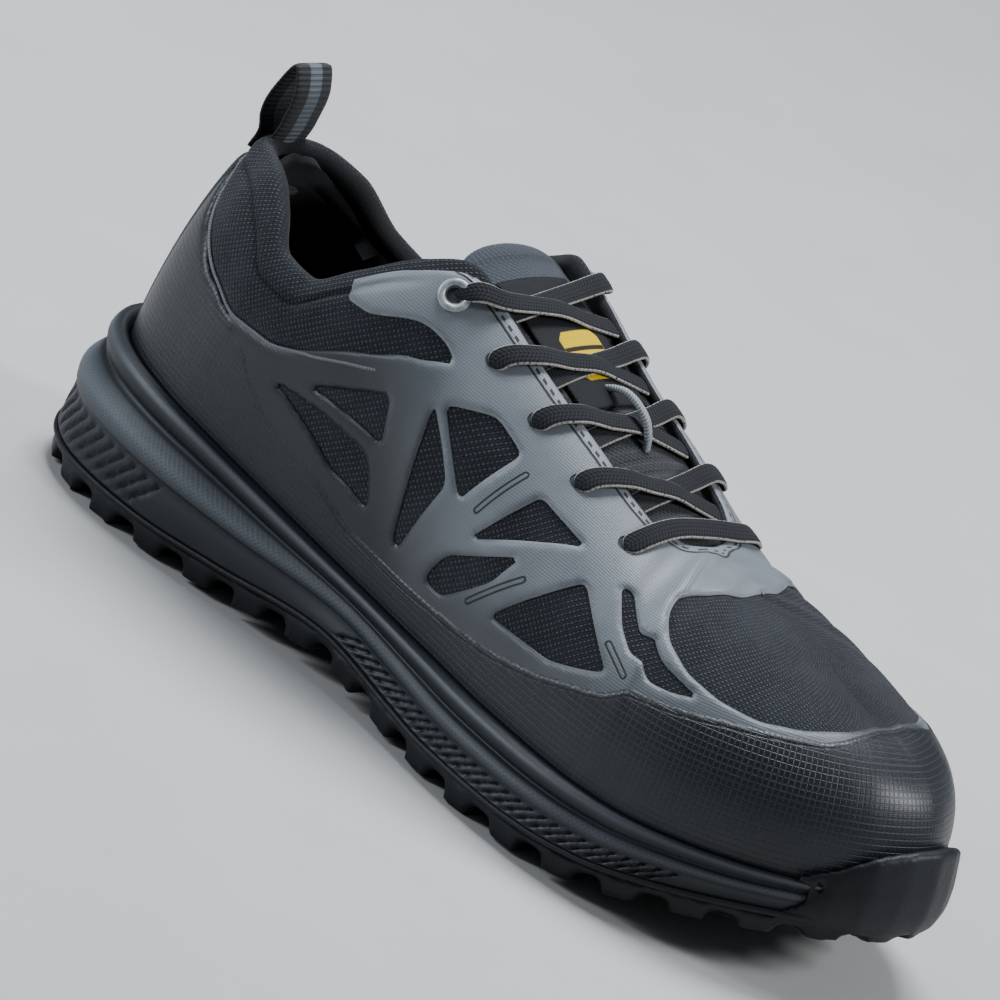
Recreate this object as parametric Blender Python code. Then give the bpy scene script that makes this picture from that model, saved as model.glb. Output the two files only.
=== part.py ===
"""A low-cut safety sneaker for the right foot, built as its maker would assemble it.

The toe points along +X, the outer (lateral) side is at -Y and +Z is up. The floor is z = 0, and the origin
is the middle of the sole's outline on the floor. All lengths are in metres.

The upper is one skin: columns run round the shoe from the heel to the toe on each side, and rows run up
each column from the sole to the topline. Every overlay is cut from that same skin.
"""
import bmesh
import bpy
import numpy as np

MM = 0.001

# Driving sizes of the sole
SOLE_LENGTH = 300 * MM
BALL_WIDTH = 110 * MM
HEEL_STACK = 42 * MM
BALL_STACK = 25.5 * MM
TOE_SPRING = 20 * MM
ARCH_RISE = 5 * MM
OUTSOLE_BASE = 3.2 * MM
LUG_DEPTH = 4.5 * MM
RIB_DEPTH = 1.6 * MM

# Driving sizes of the upper
INSTEP_RISE = 88 * MM
THROAT_HALF_GAP = 21 * MM
UPPER_INSET = 9.0 * MM
FEATHER_DEPTH = 4 * MM
WALL = 2.2 * MM
COLLAR_PAD = 7.0 * MM
FILM = 0.8 * MM
TONGUE_THICKNESS = 4.5 * MM
INSOLE_THICKNESS = 4.0 * MM
LACE_WIDTH = 6.5 * MM
LACE_THICKNESS = 2.0 * MM
LOOP_HEIGHT = 24 * MM
LOOP_WIDTH = 15 * MM
LOOP_THICKNESS = 1.6 * MM
EYELET_RADIUS = 4.6 * MM

# The gap that is left between pieces that touch, and under the films, which lie on curved facets
CLEARANCE = 0.3 * MM
FILM_GAP = 0.5 * MM
SEAT_GAP = 0.6 * MM
# The mudguard's and the heel counter's thickness
GUARD_WALL = 1.2 * MM

# How far the midsole's lip stays from the skin: the mudguard lies between them
OVERLAY_STAND = FILM_GAP + GUARD_WALL + 2 * CLEARANCE
# Points closer than these are made one, in a mesh and after the cuts
MERGE = 1e-6
WELD = 0.02 * MM

# The skin's mesh: columns of each side behind and in front of the throat's end, and rows up each column
BACK_COLUMNS = 20
FRONT_COLUMNS = 10
TOP_ROW = 8
THROAT_END = 0.70
# At the collar the columns lean the way the sole's outline faces, as if their tops stood this much further in
COLLAR_PULL = 30 * MM

# The diagonal grooves between the ribs of the midsole's side: how many, first and last share of the side, and
# the shares of the side's height that each one spans
HEEL_RIBS = 11
FORE_RIBS = 22
HEEL_RIB_SPAN = (0.020, 0.200, 0.12, 0.42)
FORE_RIB_SPAN = (0.425, 0.760, 0.14, 0.40)
RIB_SLANT = 0.024
RIB_WIDTH = 1.9 * MM
RIB_REACH = 0.8 * MM

# The outsole's edge stands out from the midsole's lowest line by this much, and is cut back under it
WELT_STAND = 0.6 * MM
WELT_BEVEL = 1.0 * MM
LUGS_PER_SIDE = 19
LUG_LENGTH = 10.5 * MM
LUG_REACH = 14 * MM
LUG_TAPER = 0.8 * MM
LUG_ROOT = 1.5 * MM
# Blocks of the tread's middle: where each row stands along the sole, how far its outer end lies behind its
# inner end, and the gap left to the lugs of the edge
HEEL_BLOCKS = (0.085, 0.135, 0.185)
FORE_BLOCKS = (0.600, 0.665, 0.730, 0.795, 0.860)
HEEL_SKEW = 6 * MM
FORE_SKEW = 2 * MM
BLOCK_LENGTH = 11 * MM
BLOCK_GAP = 3 * MM
# The toe bumper at the toe's middle and at each column away from it: how high it stands above the sole's top,
# and how far its face lies behind the outline's, in mm
BUMPER_RISE = (12.5, 12.0, 10.0, 5.0, 1.2)
BUMPER_BACK = (0.0, 0.0, 0.0, 0.8, 1.8)
# Its face from the root up: share of its height, distance behind the outline, and share of BUMPER_BACK
BUMPER_FACE = ((0.0, 1.2 * MM, 1.0), (0.22, 0.1 * MM, 1.0), (0.5, 0.5 * MM, 1.0))
BUMPER_SHOULDER = 2.7 * MM
BUMPER_EDGE = 3.6 * MM
BUMPER_TUCK = 9 * MM
MIDSOLE_TOE = -3.0 * MM

# How far round the heel the counter reaches, and the gap to the mudguard, in columns
COUNTER_COLUMNS = 2
COUNTER_DROP = 1.2
SEAM = 0.08
# The cage: its first column, how far it stays below the collar's edge, and how deep its cutters reach
CAGE_START = 7
EYESTAY_MARGIN = 0.04
WINDOW_REACH = 9 * MM

TONGUE_GAP = 0.5 * MM
TONGUE_TUCK_GAP = 2.6 * MM
# The lobe above the eyestays: each section's step back and up from the one below, in mm, and its share of
# the width
TONGUE_LOBE = ((-4.0, 3.2, 0.86), (-8.0, 5.8, 0.72), (-11.0, 6.8, 0.48))
TONGUE_FIRST = 11
TONGUE_CROWN = 0.07
# The label: its first and last section of the tongue, half its width's share, and its own sizes
LABEL_FROM = 3.6
LABEL_TO = 6.4
LABEL_HALF = 0.34
LABEL_THICKNESS = 0.7 * MM
LABEL_GAP = 0.4 * MM

# The eyelets, top to bottom: share of the side, and share of the skin's height
EYELETS = ((0.391, 0.90), (0.446, 0.86), (0.505, 0.84), (0.566, 0.83), (0.630, 0.82))
EYELET_HEIGHT = 1.0 * MM
EYELET_HOLE = 0.6
EYELET_GAP = 0.9 * MM
EYELET_TOP = FILM_GAP + FILM + EYELET_GAP + EYELET_HEIGHT
EYELET_CORNERS = 14
LACE_STAND = FILM_GAP + FILM + 2 * CLEARANCE + LACE_THICKNESS / 2
# Where a crossing dives under the far side, share of the way to the next eyelet, and the last one's share
LACE_DIVE = {"over": 0.80, "under": 0.62}
LACE_LAST_DIVE = 0.60
# How much thicker than itself the upper strand rises over the lower one
LACE_OVER = 0.8
LACE_PIECES = 9
STRAND_CORNERS = 6
# The keeper: the crossing that it spans, where its middle lies towards the next one, and its sizes
KEEPER_ROW = 2
KEEPER_CENTRE = 0.60
KEEPER_LENGTH = 22 * MM
KEEPER_CORD = 2.0 * MM
KEEPER_STEPS = (-0.72, -0.36, 0.0, 0.36, 0.72)
KEEPER_PIECES = 12

# The pull loop's outline above the collar: distance before and behind its middle, in mm, and share of height
LOOP_CURVE = ((-4.6, 0.30), (-3.4, 0.74), (0.8, 1.0), (5.0, 0.76), (5.2, 0.34))
LOOP_INNER_GAP = 3.0 * MM
LOOP_OUTER_GAP = 0.5 * MM
LOOP_PIECES = 18


class Table:
    """Rows of numbers under named columns, read along a smooth curve at any value of the first column."""

    def __init__(self, names, rows):
        self.names = names.split()
        self.rows = np.array(rows, float)

    def __call__(self, name, at):
        return smooth(self.rows[:, 0], self.rows[:, self.names.index(name)], at)


def smooth(knots, values, at):
    """A curve through the values that rises and falls only where they do (monotone cubic)."""
    knots = np.asarray(knots, float)
    values = np.asarray(values, float)
    at = np.clip(at, knots[0], knots[-1])
    step = np.diff(knots)
    slope = np.diff(values) / step
    before, after = slope[:-1], slope[1:]
    w_before = 2 * step[1:] + step[:-1]
    w_after = step[1:] + 2 * step[:-1]
    same_way = before * after > 0
    safe_before = np.where(same_way, before, 1.0)
    safe_after = np.where(same_way, after, 1.0)
    inner = (w_before + w_after) / (w_before / safe_before + w_after / safe_after)
    tangent = np.concatenate([slope[:1], np.where(same_way, inner, 0.0), slope[-1:]])
    i = np.clip(np.searchsorted(knots, at, side="right") - 1, 0, len(step) - 1)
    u = (at - knots[i]) / step[i]
    return (
        values[i] * (1 + 2 * u) * (1 - u) ** 2
        + values[i + 1] * u * u * (3 - 2 * u)
        + step[i] * tangent[i] * u * (1 - u) ** 2
        - step[i] * tangent[i + 1] * u * u * (1 - u)
    )


def unit(vectors):
    return vectors / np.maximum(np.linalg.norm(vectors, axis=-1, keepdims=True), 1e-12)


def stack(x, y, z):
    return np.stack(np.broadcast_arrays(x, y, z), axis=-1)


# The sole's outline from above, heel to toe: shares of the sole's length and of the ball's width
SOLE_PLAN = Table(
    "along lateral medial",
    [
        [0.008, 0.125, 0.145],
        [0.035, 0.235, 0.245],
        [0.085, 0.318, 0.318],
        [0.160, 0.362, 0.348],
        [0.280, 0.366, 0.335],
        [0.400, 0.376, 0.322],
        [0.500, 0.408, 0.346],
        [0.600, 0.466, 0.425],
        [0.690, 0.498, 0.488],
        [0.750, 0.500, 0.500],
        [0.820, 0.470, 0.485],
        [0.890, 0.388, 0.428],
        [0.945, 0.275, 0.335],
        [0.982, 0.135, 0.210],
    ],
)
HEEL_SWING = 0.01
TOE_SWING = 0.045


def side_shares():
    """Where the skin's columns stand along one side: 0 at the heel's middle, 1 at the toe's."""
    back = np.linspace(0, THROAT_END, BACK_COLUMNS + 1)
    return np.concatenate([back, np.linspace(THROAT_END, 1, FRONT_COLUMNS + 1)[1:]])


def closed_curve(points, pieces=24):
    """A smooth closed curve through the points, each stretch cut into that many pieces."""
    ahead = np.roll(points, -1, 0)
    behind = np.roll(points, 1, 0)
    chord = np.linalg.norm(ahead - points, axis=1)
    tangent = (ahead - behind) / (chord + np.roll(chord, 1))[:, None]
    u = np.linspace(0, 1, pieces, endpoint=False)[None, :, None]
    h = chord[:, None, None]
    curve = (
        points[:, None] * (1 + 2 * u) * (1 - u) ** 2
        + ahead[:, None] * u * u * (3 - 2 * u)
        + h * tangent[:, None] * u * (1 - u) ** 2
        - h * np.roll(tangent, -1, 0)[:, None] * u * u * (1 - u)
    )
    return curve.reshape(-1, points.shape[1])


def plan(sign, shares, pieces=24):
    """The sole's outline on one side (-1 lateral, 1 medial): points and outward normals at those shares."""
    rows = SOLE_PLAN.rows
    lateral = np.stack([rows[:, 0] * SOLE_LENGTH, -rows[:, 1] * BALL_WIDTH], 1)
    medial = np.stack([rows[:, 0] * SOLE_LENGTH, rows[:, 2] * BALL_WIDTH], 1)
    heel = np.array([[0.0, HEEL_SWING * BALL_WIDTH]])
    toe = np.array([[SOLE_LENGTH, TOE_SWING * BALL_WIDTH]])
    curve = closed_curve(np.concatenate([heel, lateral, toe, medial[::-1]]), pieces)
    at_toe = (len(rows) + 1) * pieces
    side = curve[: at_toe + 1] if sign < 0 else np.concatenate([curve[at_toe:], curve[:1]])[::-1]
    length = np.concatenate([[0], np.cumsum(np.linalg.norm(np.diff(side, axis=0), axis=1))])
    at = np.asarray(shares) * length[-1]
    points = np.stack([np.interp(at, length, side[:, k]) for k in (0, 1)], 1)
    way = np.gradient(side, length, axis=0)
    way = unit(np.stack([np.interp(at, length, way[:, k]) for k in (0, 1)], 1))
    normal = np.stack([-sign * way[:, 1], sign * way[:, 0]], 1)
    normal[shares == 0] = (-1, 0)
    normal[shares == 1] = (1, 0)
    return points - [SOLE_LENGTH / 2, 0], normal


# Heights along the sole: shares of TOE_SPRING and ARCH_RISE, of the way from BALL_STACK to HEEL_STACK, and of
# LUG_DEPTH
SOLE_SIDE = Table(
    "along spring arch stack tread",
    [
        [0.00, 0.10, 0.0, 1.00, 1.0],
        [0.04, 0.02, 0.0, 0.98, 1.0],
        [0.07, 0.00, 0.0, 0.95, 1.0],
        [0.18, 0.00, 0.0, 0.72, 1.0],
        [0.28, 0.00, 0.3, 0.45, 1.0],
        [0.41, 0.00, 1.0, 0.17, 1.0],
        [0.52, 0.00, 0.2, 0.03, 1.0],
        [0.57, 0.00, 0.0, 0.01, 1.0],
        [0.67, 0.00, 0.0, -0.02, 1.0],
        [0.71, 0.02, 0.0, -0.05, 1.0],
        [0.77, 0.12, 0.0, -0.16, 0.9],
        [0.84, 0.36, 0.0, -0.35, 0.75],
        [0.92, 0.68, 0.0, -0.56, 0.6],
        [1.00, 1.00, 0.0, -0.69, 0.5],
    ],
)


def along_of(x):
    return x / SOLE_LENGTH + 0.5


def floor_line(along):
    """Height of the lugs' faces above the floor."""
    return TOE_SPRING * SOLE_SIDE("spring", along) + ARCH_RISE * SOLE_SIDE("arch", along)


def tread_top(along):
    """Height of the outsole's underside between its lugs."""
    return floor_line(along) + LUG_DEPTH * SOLE_SIDE("tread", along)


def parting_line(along):
    """Height at which the midsole meets the outsole."""
    return tread_top(along) + OUTSOLE_BASE


def sole_top(along):
    """Height of the bead at the midsole's top edge."""
    level = BALL_STACK + (HEEL_STACK - BALL_STACK) * SOLE_SIDE("stack", along)
    return TOE_SPRING * SOLE_SIDE("spring", along) + level


def middle_line(along):
    """The shoe's middle line: y swings from the heel's middle to the toe's."""
    swing = np.clip((along - 0.45) / 0.55, 0, 1) ** 2 * (TOE_SWING - HEEL_SWING)
    return BALL_WIDTH * (HEEL_SWING + swing)


# The columns of the upper, heel to toe. around: share of the side. along: where the column ends, share of
# SOLE_LENGTH. gap: half the opening there, share of THROAT_HALF_GAP. rise: share of INSTEP_RISE above the
# sole's top. lean: degrees outward at the foot. foot, crown: how long the curve keeps its lower and upper
# direction, shares of its span. drop: degrees that it leans over at the top. inset: share of UPPER_INSET.
RIBS = Table(
    "around along gap rise_lateral rise_medial lean foot crown drop inset",
    [
        [0.000, 0.075, 0.00, 0.733, 0.733, 2, 0.26, 0.24, 58, 1.20],
        [0.060, 0.088, 0.55, 0.740, 0.730, 2, 0.26, 0.24, 58, 1.16],
        [0.115, 0.128, 1.05, 0.740, 0.690, 4, 0.30, 0.28, 62, 1.08],
        [0.165, 0.168, 1.42, 0.690, 0.585, 4, 0.35, 0.30, 68, 1.00],
        [0.215, 0.205, 1.66, 0.612, 0.550, 4, 0.35, 0.30, 70, 0.95],
        [0.255, 0.238, 1.70, 0.620, 0.580, 5, 0.35, 0.30, 68, 0.95],
        [0.300, 0.282, 1.62, 0.750, 0.740, 6, 0.36, 0.32, 62, 0.95],
        [0.350, 0.332, 1.43, 0.905, 0.900, 8, 0.38, 0.34, 54, 0.95],
        [0.390, 0.372, 1.16, 0.975, 0.980, 8, 0.42, 0.36, 46, 0.95],
        [0.430, 0.412, 1.00, 0.925, 0.950, 8, 0.45, 0.36, 40, 0.95],
        [0.500, 0.482, 0.95, 0.838, 0.850, 8, 0.48, 0.36, 34, 0.93],
        [0.570, 0.556, 0.90, 0.750, 0.755, 8, 0.48, 0.36, 30, 0.90],
        [0.635, 0.618, 0.80, 0.662, 0.665, 8, 0.50, 0.36, 26, 0.88],
        [0.680, 0.652, 0.48, 0.622, 0.622, 8, 0.52, 0.38, 14, 0.85],
        [0.700, 0.664, 0.00, 0.617, 0.617, 8, 0.54, 0.40, 0, 0.84],
        [0.780, 0.715, 0.00, 0.592, 0.592, 8, 0.56, 0.42, 0, 0.82],
        [0.860, 0.765, 0.00, 0.556, 0.556, 6, 0.58, 0.44, 0, 0.82],
        [0.930, 0.812, 0.00, 0.510, 0.510, 4, 0.60, 0.46, 0, 0.84],
        [1.000, 0.855, 0.00, 0.462, 0.462, 2, 0.60, 0.50, 0, 0.88],
    ],
)


# How much of COLLAR_PULL counts along the side
PULL_SPAN = ((0.0, 0.38, 0.52, 1.0), (1.0, 1.0, 0.0, 0.0))


def topline(sign, shares):
    """Where one side's columns end: the collar's edge, the throat's edge, then the ridge over the toes."""
    along = RIBS("along", shares)
    rise = INSTEP_RISE * RIBS("rise_lateral" if sign < 0 else "rise_medial", shares)
    y = middle_line(along) + sign * THROAT_HALF_GAP * RIBS("gap", shares)
    return stack((along - 0.5) * SOLE_LENGTH, y, sole_top(along) + rise)


def ribs(sign, shares, rows):
    """One side of the skin: each column is a cubic curve from the feather line up to the topline."""
    points, normal = plan(sign, shares)
    foot_xy = points - normal * (UPPER_INSET * RIBS("inset", shares))[:, None]
    foot = stack(foot_xy[:, 0], foot_xy[:, 1], sole_top(along_of(foot_xy[:, 0])) - FEATHER_DEPTH)
    top = topline(sign, shares)
    pull = COLLAR_PULL * smooth(*PULL_SPAN, shares)
    inward = unit(top[:, :2] - foot[:, :2] - normal * pull[:, None])
    span = np.linalg.norm(top - foot, axis=1)
    ridge = top[shares >= THROAT_END]
    slope = np.zeros(len(shares))
    slope[shares >= THROAT_END] = np.gradient(ridge[:, 2], ridge[:, 0])
    lean = np.radians(RIBS("lean", shares))[:, None]
    drop = np.radians(RIBS("drop", shares))[:, None]
    up = np.array([0, 0, 1.0])
    flat = stack(inward[:, 0], inward[:, 1], 0)
    over = unit(stack(inward[:, 0], inward[:, 1], slope * inward[:, 0]))
    foot_way = np.cos(lean) * up - np.sin(lean) * flat
    top_way = np.cos(drop) * over + np.sin(drop) * up
    lower = foot + foot_way * (span * RIBS("foot", shares))[:, None]
    upper = top - top_way * (span * RIBS("crown", shares))[:, None]
    u = rows[None, :, None]
    return (
        foot[:, None] * (1 - u) ** 3
        + 3 * lower[:, None] * u * (1 - u) ** 2
        + 3 * upper[:, None] * u * u * (1 - u)
        + top[:, None] * u**3
    )


class Skin:
    """The upper's outer surface as a grid of points and normals, which every layer is read from.

    Columns count from 0 at the heel along the lateral side to COLUMNS at the toe, and go on round the medial
    side back to the heel. Rows count from 0 at the feather line to TOP_ROW at the topline.
    """

    def __init__(self):
        shares = side_shares()
        rows = np.linspace(0, 1, TOP_ROW + 1)
        lateral = ribs(-1, shares, rows)
        medial = ribs(1, shares, rows)
        self.side = len(shares) - 1
        self.around = 2 * self.side
        self.throat = BACK_COLUMNS
        self.points = np.concatenate([lateral, medial[-2:0:-1]])
        across = np.roll(self.points, -1, 0) - np.roll(self.points, 1, 0)
        normal = unit(np.cross(across, np.gradient(self.points, axis=1)))
        ridge = np.arange(self.throat, self.around - self.throat + 1)
        both = unit(normal[ridge, -1] + normal[ridge[::-1], -1])
        normal[ridge, -1] = both
        self.normal = normal
        self.shares = shares
        self.flip = self.inner_splits()

    def inner_splits(self):
        """Which cells are split from (column + 1, row) to (column, row + 1), the lower of the two diagonals.

        A layer that ends inside a cell then never cuts through the skin. At the toe's middle the two sides
        meet on one column, so their last cells are split away from it.
        """
        ahead = np.roll(self.points, -1, 0)
        straight = (self.points[:, :-1] + ahead[:, 1:]) / 2
        crossed = (ahead[:, :-1] + self.points[:, 1:]) / 2
        flip = ((straight - crossed) * self.normal[:, :-1]).sum(-1) > 0
        flip[self.side - 1, -1] = False
        flip[self.side, -1] = True
        return flip

    def column(self, sign, share):
        """The column number at a share of one side."""
        c = np.interp(share, self.shares, np.arange(self.side + 1))
        return c if sign < 0 else self.around - c

    def at(self, column, row, out=0.0):
        """Points on the skin's own facets, or above or below them by a distance along the normal."""
        column = np.asarray(column, float) % self.around
        row = np.clip(row, 0, TOP_ROW)
        column, row, out = np.broadcast_arrays(column, row, out)
        c = np.floor(column + 1e-9).astype(int)
        r = np.minimum(np.floor(row + 1e-9).astype(int), TOP_ROW - 1)
        fc = (column - c)[..., None]
        fr = (row - r)[..., None]
        nxt = (c + 1) % self.around
        c = c % self.around
        crossed = self.flip[c, r][..., None]
        fr = np.where(crossed, 1 - fr, fr)
        low, high = np.where(self.flip[c, r], r + 1, r), np.where(self.flip[c, r], r, r + 1)
        near = np.maximum(fc, fr)
        far = np.minimum(fc, fr)
        mixed = []
        for grid in (self.points, self.normal):
            corner = np.where(fc >= fr, grid[nxt, low], grid[c, high])
            mixed.append(grid[c, low] * (1 - near) + corner * (near - far) + grid[nxt, high] * far)
        return mixed[0] + unit(mixed[1]) * out[..., None]


class Body:
    """A mesh put together from sheets of points; points that coincide are merged when it is made."""

    def __init__(self):
        self.points = []
        self.faces = []
        self.count = 0

    def add(self, points):
        """Adds a grid of points and returns the numbers that faces name them by."""
        points = np.asarray(points, float)
        flat = points.reshape(-1, 3)
        numbers = np.arange(self.count, self.count + len(flat)).reshape(points.shape[:-1])
        self.points.append(flat)
        self.count += len(flat)
        return numbers

    def quads(self, grid, loop=False, flip=False):
        """Fills a grid of point numbers with pairs of triangles; flip marks the cells split the other way.

        A loop is closed round its first axis.
        """
        ahead = np.roll(grid, -1, 0) if loop else grid[1:]
        base = grid if loop else grid[:-1]
        a, b, c, d = base[:, :-1], ahead[:, :-1], ahead[:, 1:], base[:, 1:]
        flip = np.broadcast_to(flip, a.shape)
        one = np.stack([a, b, np.where(flip, d, c)], -1)
        other = np.stack([np.where(flip, b, a), c, d], -1)
        self.faces.extend(one.reshape(-1, 3).tolist())
        self.faces.extend(other.reshape(-1, 3).tolist())

    def cap(self, ring):
        """Closes a ring of point numbers with one face."""
        self.faces.append(list(ring))

    def sheet(self, points, loop=False, flip=False):
        grid = self.add(points)
        self.quads(grid, loop, flip)
        return grid

    def strip(self, one, other, loop=False):
        """Joins two rows of point numbers with a band of quads."""
        self.quads(np.stack([one, other], 1), loop)

    def mesh(self, name):
        mesh = bpy.data.meshes.new(name)
        faces = [face for face in self.faces if len(set(face)) == len(face)]
        mesh.from_pydata(np.concatenate(self.points).tolist(), [], faces)
        made = bmesh.new()
        made.from_mesh(mesh)
        bmesh.ops.remove_doubles(made, verts=made.verts, dist=MERGE)
        bmesh.ops.dissolve_degenerate(made, dist=MERGE, edges=made.edges)
        loose = [v for v in made.verts if not v.link_faces]
        bmesh.ops.delete(made, geom=loose, context="VERTS")
        bmesh.ops.recalc_face_normals(made, faces=made.faces)
        made.to_mesh(mesh)
        made.free()
        return mesh


def material(name, colour, roughness, metallic=0.0):
    made = bpy.data.materials.new(name)
    made.use_nodes = True
    shader = made.node_tree.nodes["Principled BSDF"]
    shader.inputs["Base Color"].default_value = (*colour, 1)
    shader.inputs["Roughness"].default_value = roughness
    shader.inputs["Metallic"].default_value = metallic
    return made


def put(name, body, finish, flat=False):
    """Makes the object of a body, smooth except at its sharp edges."""
    mesh = body.mesh(name)
    mesh.materials.append(finish)
    made = bpy.data.objects.new(name, mesh)
    bpy.context.scene.collection.objects.link(made)
    if not flat:
        mesh.shade_smooth()
        mesh.set_sharp_from_angle(angle=np.radians(40))
    return made


def hide(cutter):
    cutter.hide_render = True
    cutter.display_type = "WIRE"
    return cutter


def boolean(target, cutter, operation):
    change = target.modifiers.new(cutter.name, "BOOLEAN")
    change.operation = operation
    change.solver = "EXACT"
    change.object = hide(cutter)


def weld(target):
    """Merges the corners that the cuts leave closer than a hair's width."""
    change = target.modifiers.new("weld", "WELD")
    change.merge_threshold = WELD


def join_medial(lateral, medial):
    """Round the whole shoe: the lateral side heel to toe, then the medial side back."""
    return np.concatenate([lateral, medial[-2:0:-1]])


# The midsole's side, bottom to top: share of its height and distance out from the sole's outline, in mm,
# at the heel, the arch, the ball and the toe
MIDSOLE_LINES = {
    "edge": [0.00, -1.0, 0.00, -2.6, 0.00, -0.8, 0.00, -3.2],
    "rib_foot": [0.06, 0.0, 0.08, -2.6, 0.08, 0.0, 0.08, -3.0],
    "rib_head": [0.42, -0.7, 0.36, -4.0, 0.40, -0.8, 0.40, -3.2],
    "band_foot": [0.46, 0.0, 0.42, -3.8, 0.45, -0.6, 0.45, -3.2],
    "band_crest": [0.58, 0.0, 0.52, -3.4, 0.54, -0.9, 0.54, -3.2],
    "band_head": [0.72, -3.2, 0.64, -4.4, 0.62, -2.0, 0.62, -3.5],
    "groove": [0.77, -4.8, 0.69, -5.2, 0.67, -3.4, 0.67, -4.0],
    "bead_foot": [0.82, -3.9, 0.76, -4.0, 0.75, -2.2, 0.75, -3.5],
    "bead_crest": [0.91, -3.2, 0.87, -3.2, 0.87, -1.5, 0.87, -3.0],
    "bead_head": [0.98, -4.3, 0.96, -3.8, 0.96, -2.2, 0.96, -3.2],
    "bead_top": [1.00, -6.2, 1.00, -4.9, 1.00, -3.6, 1.00, -3.7],
}
STATIONS = (0.0, 0.20, 0.42, 0.66, 0.90, 1.0)


def station(values, along):
    """A value given at the heel, arch, ball and toe, read anywhere along the sole."""
    heel, arch, ball, toe = values
    return smooth(STATIONS, (heel, heel, arch, ball, toe, toe), along)


def sole_side(sign, shares, lines):
    """One side of the sole: a grid of points, a column for each share and a row for each named line."""
    points, normal = plan(sign, shares)
    along = along_of(points[:, 0])
    foot = parting_line(along)
    height = sole_top(along) - foot
    rows = []
    for line in lines:
        values = MIDSOLE_LINES[line]
        share = station(values[0::2], along)
        out = station(values[1::2], along) * MM
        xy = points + normal * out[:, None]
        rows.append(stack(xy[:, 0], xy[:, 1], foot + share * height))
    return np.stack(rows, 1)


def inset_plan(sign, shares, inset, height):
    """The outline moved in by a distance, at the heights that a function of the place along gives."""
    points, normal = plan(sign, shares)
    xy = points - normal * np.broadcast_to(inset, len(points))[:, None]
    return stack(xy[:, 0], xy[:, 1], height(along_of(xy[:, 0])))


def ladder(body, lateral, medial):
    """Fills between the two sides' rows of point numbers, across the shoe."""
    body.strip(lateral, medial)


def groove_end(sign, share, height):
    """The three corners of a groove's section: two outside the midsole's side and one at its depth."""
    point, normal = plan(sign, np.array([share]))
    point, normal = point[0], normal[0]
    along = along_of(point[0])
    foot = parting_line(along)
    level = [station(MIDSOLE_LINES[line][0::2], along) for line in ("rib_foot", "rib_head")]
    out = [station(MIDSOLE_LINES[line][1::2], along) * MM for line in ("rib_foot", "rib_head")]
    face = np.interp(height, level, out)
    way = np.array([sign * normal[1], -sign * normal[0]])
    z = foot + height * (sole_top(along) - foot)
    corners = []
    for aside, reach in ((-0.5, RIB_REACH), (0.5, RIB_REACH), (0.0, -RIB_DEPTH)):
        corners.append([*(point + normal * (face + reach) + way * aside * RIB_WIDTH), z])
    return corners


def rib_grooves():
    body = Body()
    for sign in (-1, 1):
        for count, (first, last, low, high) in ((HEEL_RIBS, HEEL_RIB_SPAN), (FORE_RIBS, FORE_RIB_SPAN)):
            for share in np.linspace(first, last, count):
                ends = [groove_end(sign, share, low), groove_end(sign, share + RIB_SLANT, high)]
                rings = body.add(np.array(ends).transpose(1, 0, 2))
                body.quads(rings, loop=True)
                body.cap(rings[:, 0])
                body.cap(rings[:, 1])
    return body


def make_midsole(skin, finish):
    body = Body()
    shares = skin.shares
    lip = UPPER_INSET * RIBS("inset", shares) - OVERLAY_STAND
    overhang = FEATHER_DEPTH * np.tan(np.radians(RIBS("lean", shares))) + CLEARANCE
    sides = []
    for sign in (-1, 1):
        side = sole_side(sign, shares, MIDSOLE_LINES)
        lip_top = inset_plan(sign, shares, lip - overhang, sole_top)
        lip_foot = inset_plan(sign, shares, lip, seat_height)
        sides.append(np.concatenate([side, lip_top[:, None], lip_foot[:, None]], 1))
    grid = body.sheet(join_medial(*sides), loop=True)
    side = skin.side
    back = np.concatenate([grid[:1], grid[: side - 1 : -1]])
    for row in (0, -1):
        ladder(body, grid[: side + 1, row], back[:, row])
    midsole = put("midsole", body, finish)
    boolean(midsole, put("rib_grooves", rib_grooves(), finish, flat=True), "DIFFERENCE")
    return midsole


def seat_height(along):
    """Height of the platform inside the bead that the upper and the insole stand on."""
    return sole_top(along) - FEATHER_DEPTH - SEAT_GAP


def wall_thickness(skin):
    """The upper's thickness at each point of the skin: its wall, and the padding at the collar."""
    column = np.arange(skin.around)
    share = skin.shares[np.minimum(column, skin.around - column)]
    pad = smooth((0.0, 0.30, 0.42, 0.50, 1.0), (1.0, 1.0, 0.45, 0.0, 0.0), share)
    height = smooth((0.0, 0.45, 0.80, 1.0), (0.0, 0.0, 1.0, 0.75), np.linspace(0, 1, TOP_ROW + 1))
    return WALL + COLLAR_PAD * pad[:, None] * height[None, :]


def make_upper(skin, finish):
    body = Body()
    thick = wall_thickness(skin)
    inner_points = skin.points - skin.normal * thick[..., None]
    outer = body.sheet(skin.points, loop=True, flip=skin.flip)
    inner = body.sheet(inner_points, loop=True, flip=skin.flip)
    body.strip(outer[:, 0], inner[:, 0], loop=True)
    way = unit(skin.points[:, -1] - skin.points[:, -2])
    rim_points = (skin.points[:, -1] + inner_points[:, -1]) / 2 + way * (0.3 * thick[:, -1])[:, None]
    ridge = slice(skin.throat, skin.around - skin.throat + 1)
    opening = np.concatenate([np.arange(skin.around - skin.throat, skin.around), np.arange(skin.throat + 1)])
    rim_points[ridge] = (skin.points[ridge, -1] + inner_points[ridge, -1]) / 2
    rim = body.add(rim_points)
    body.quads(np.stack([outer[opening, -1], rim[opening], inner[opening, -1]], 1))
    return put("upper", body, finish)


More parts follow.
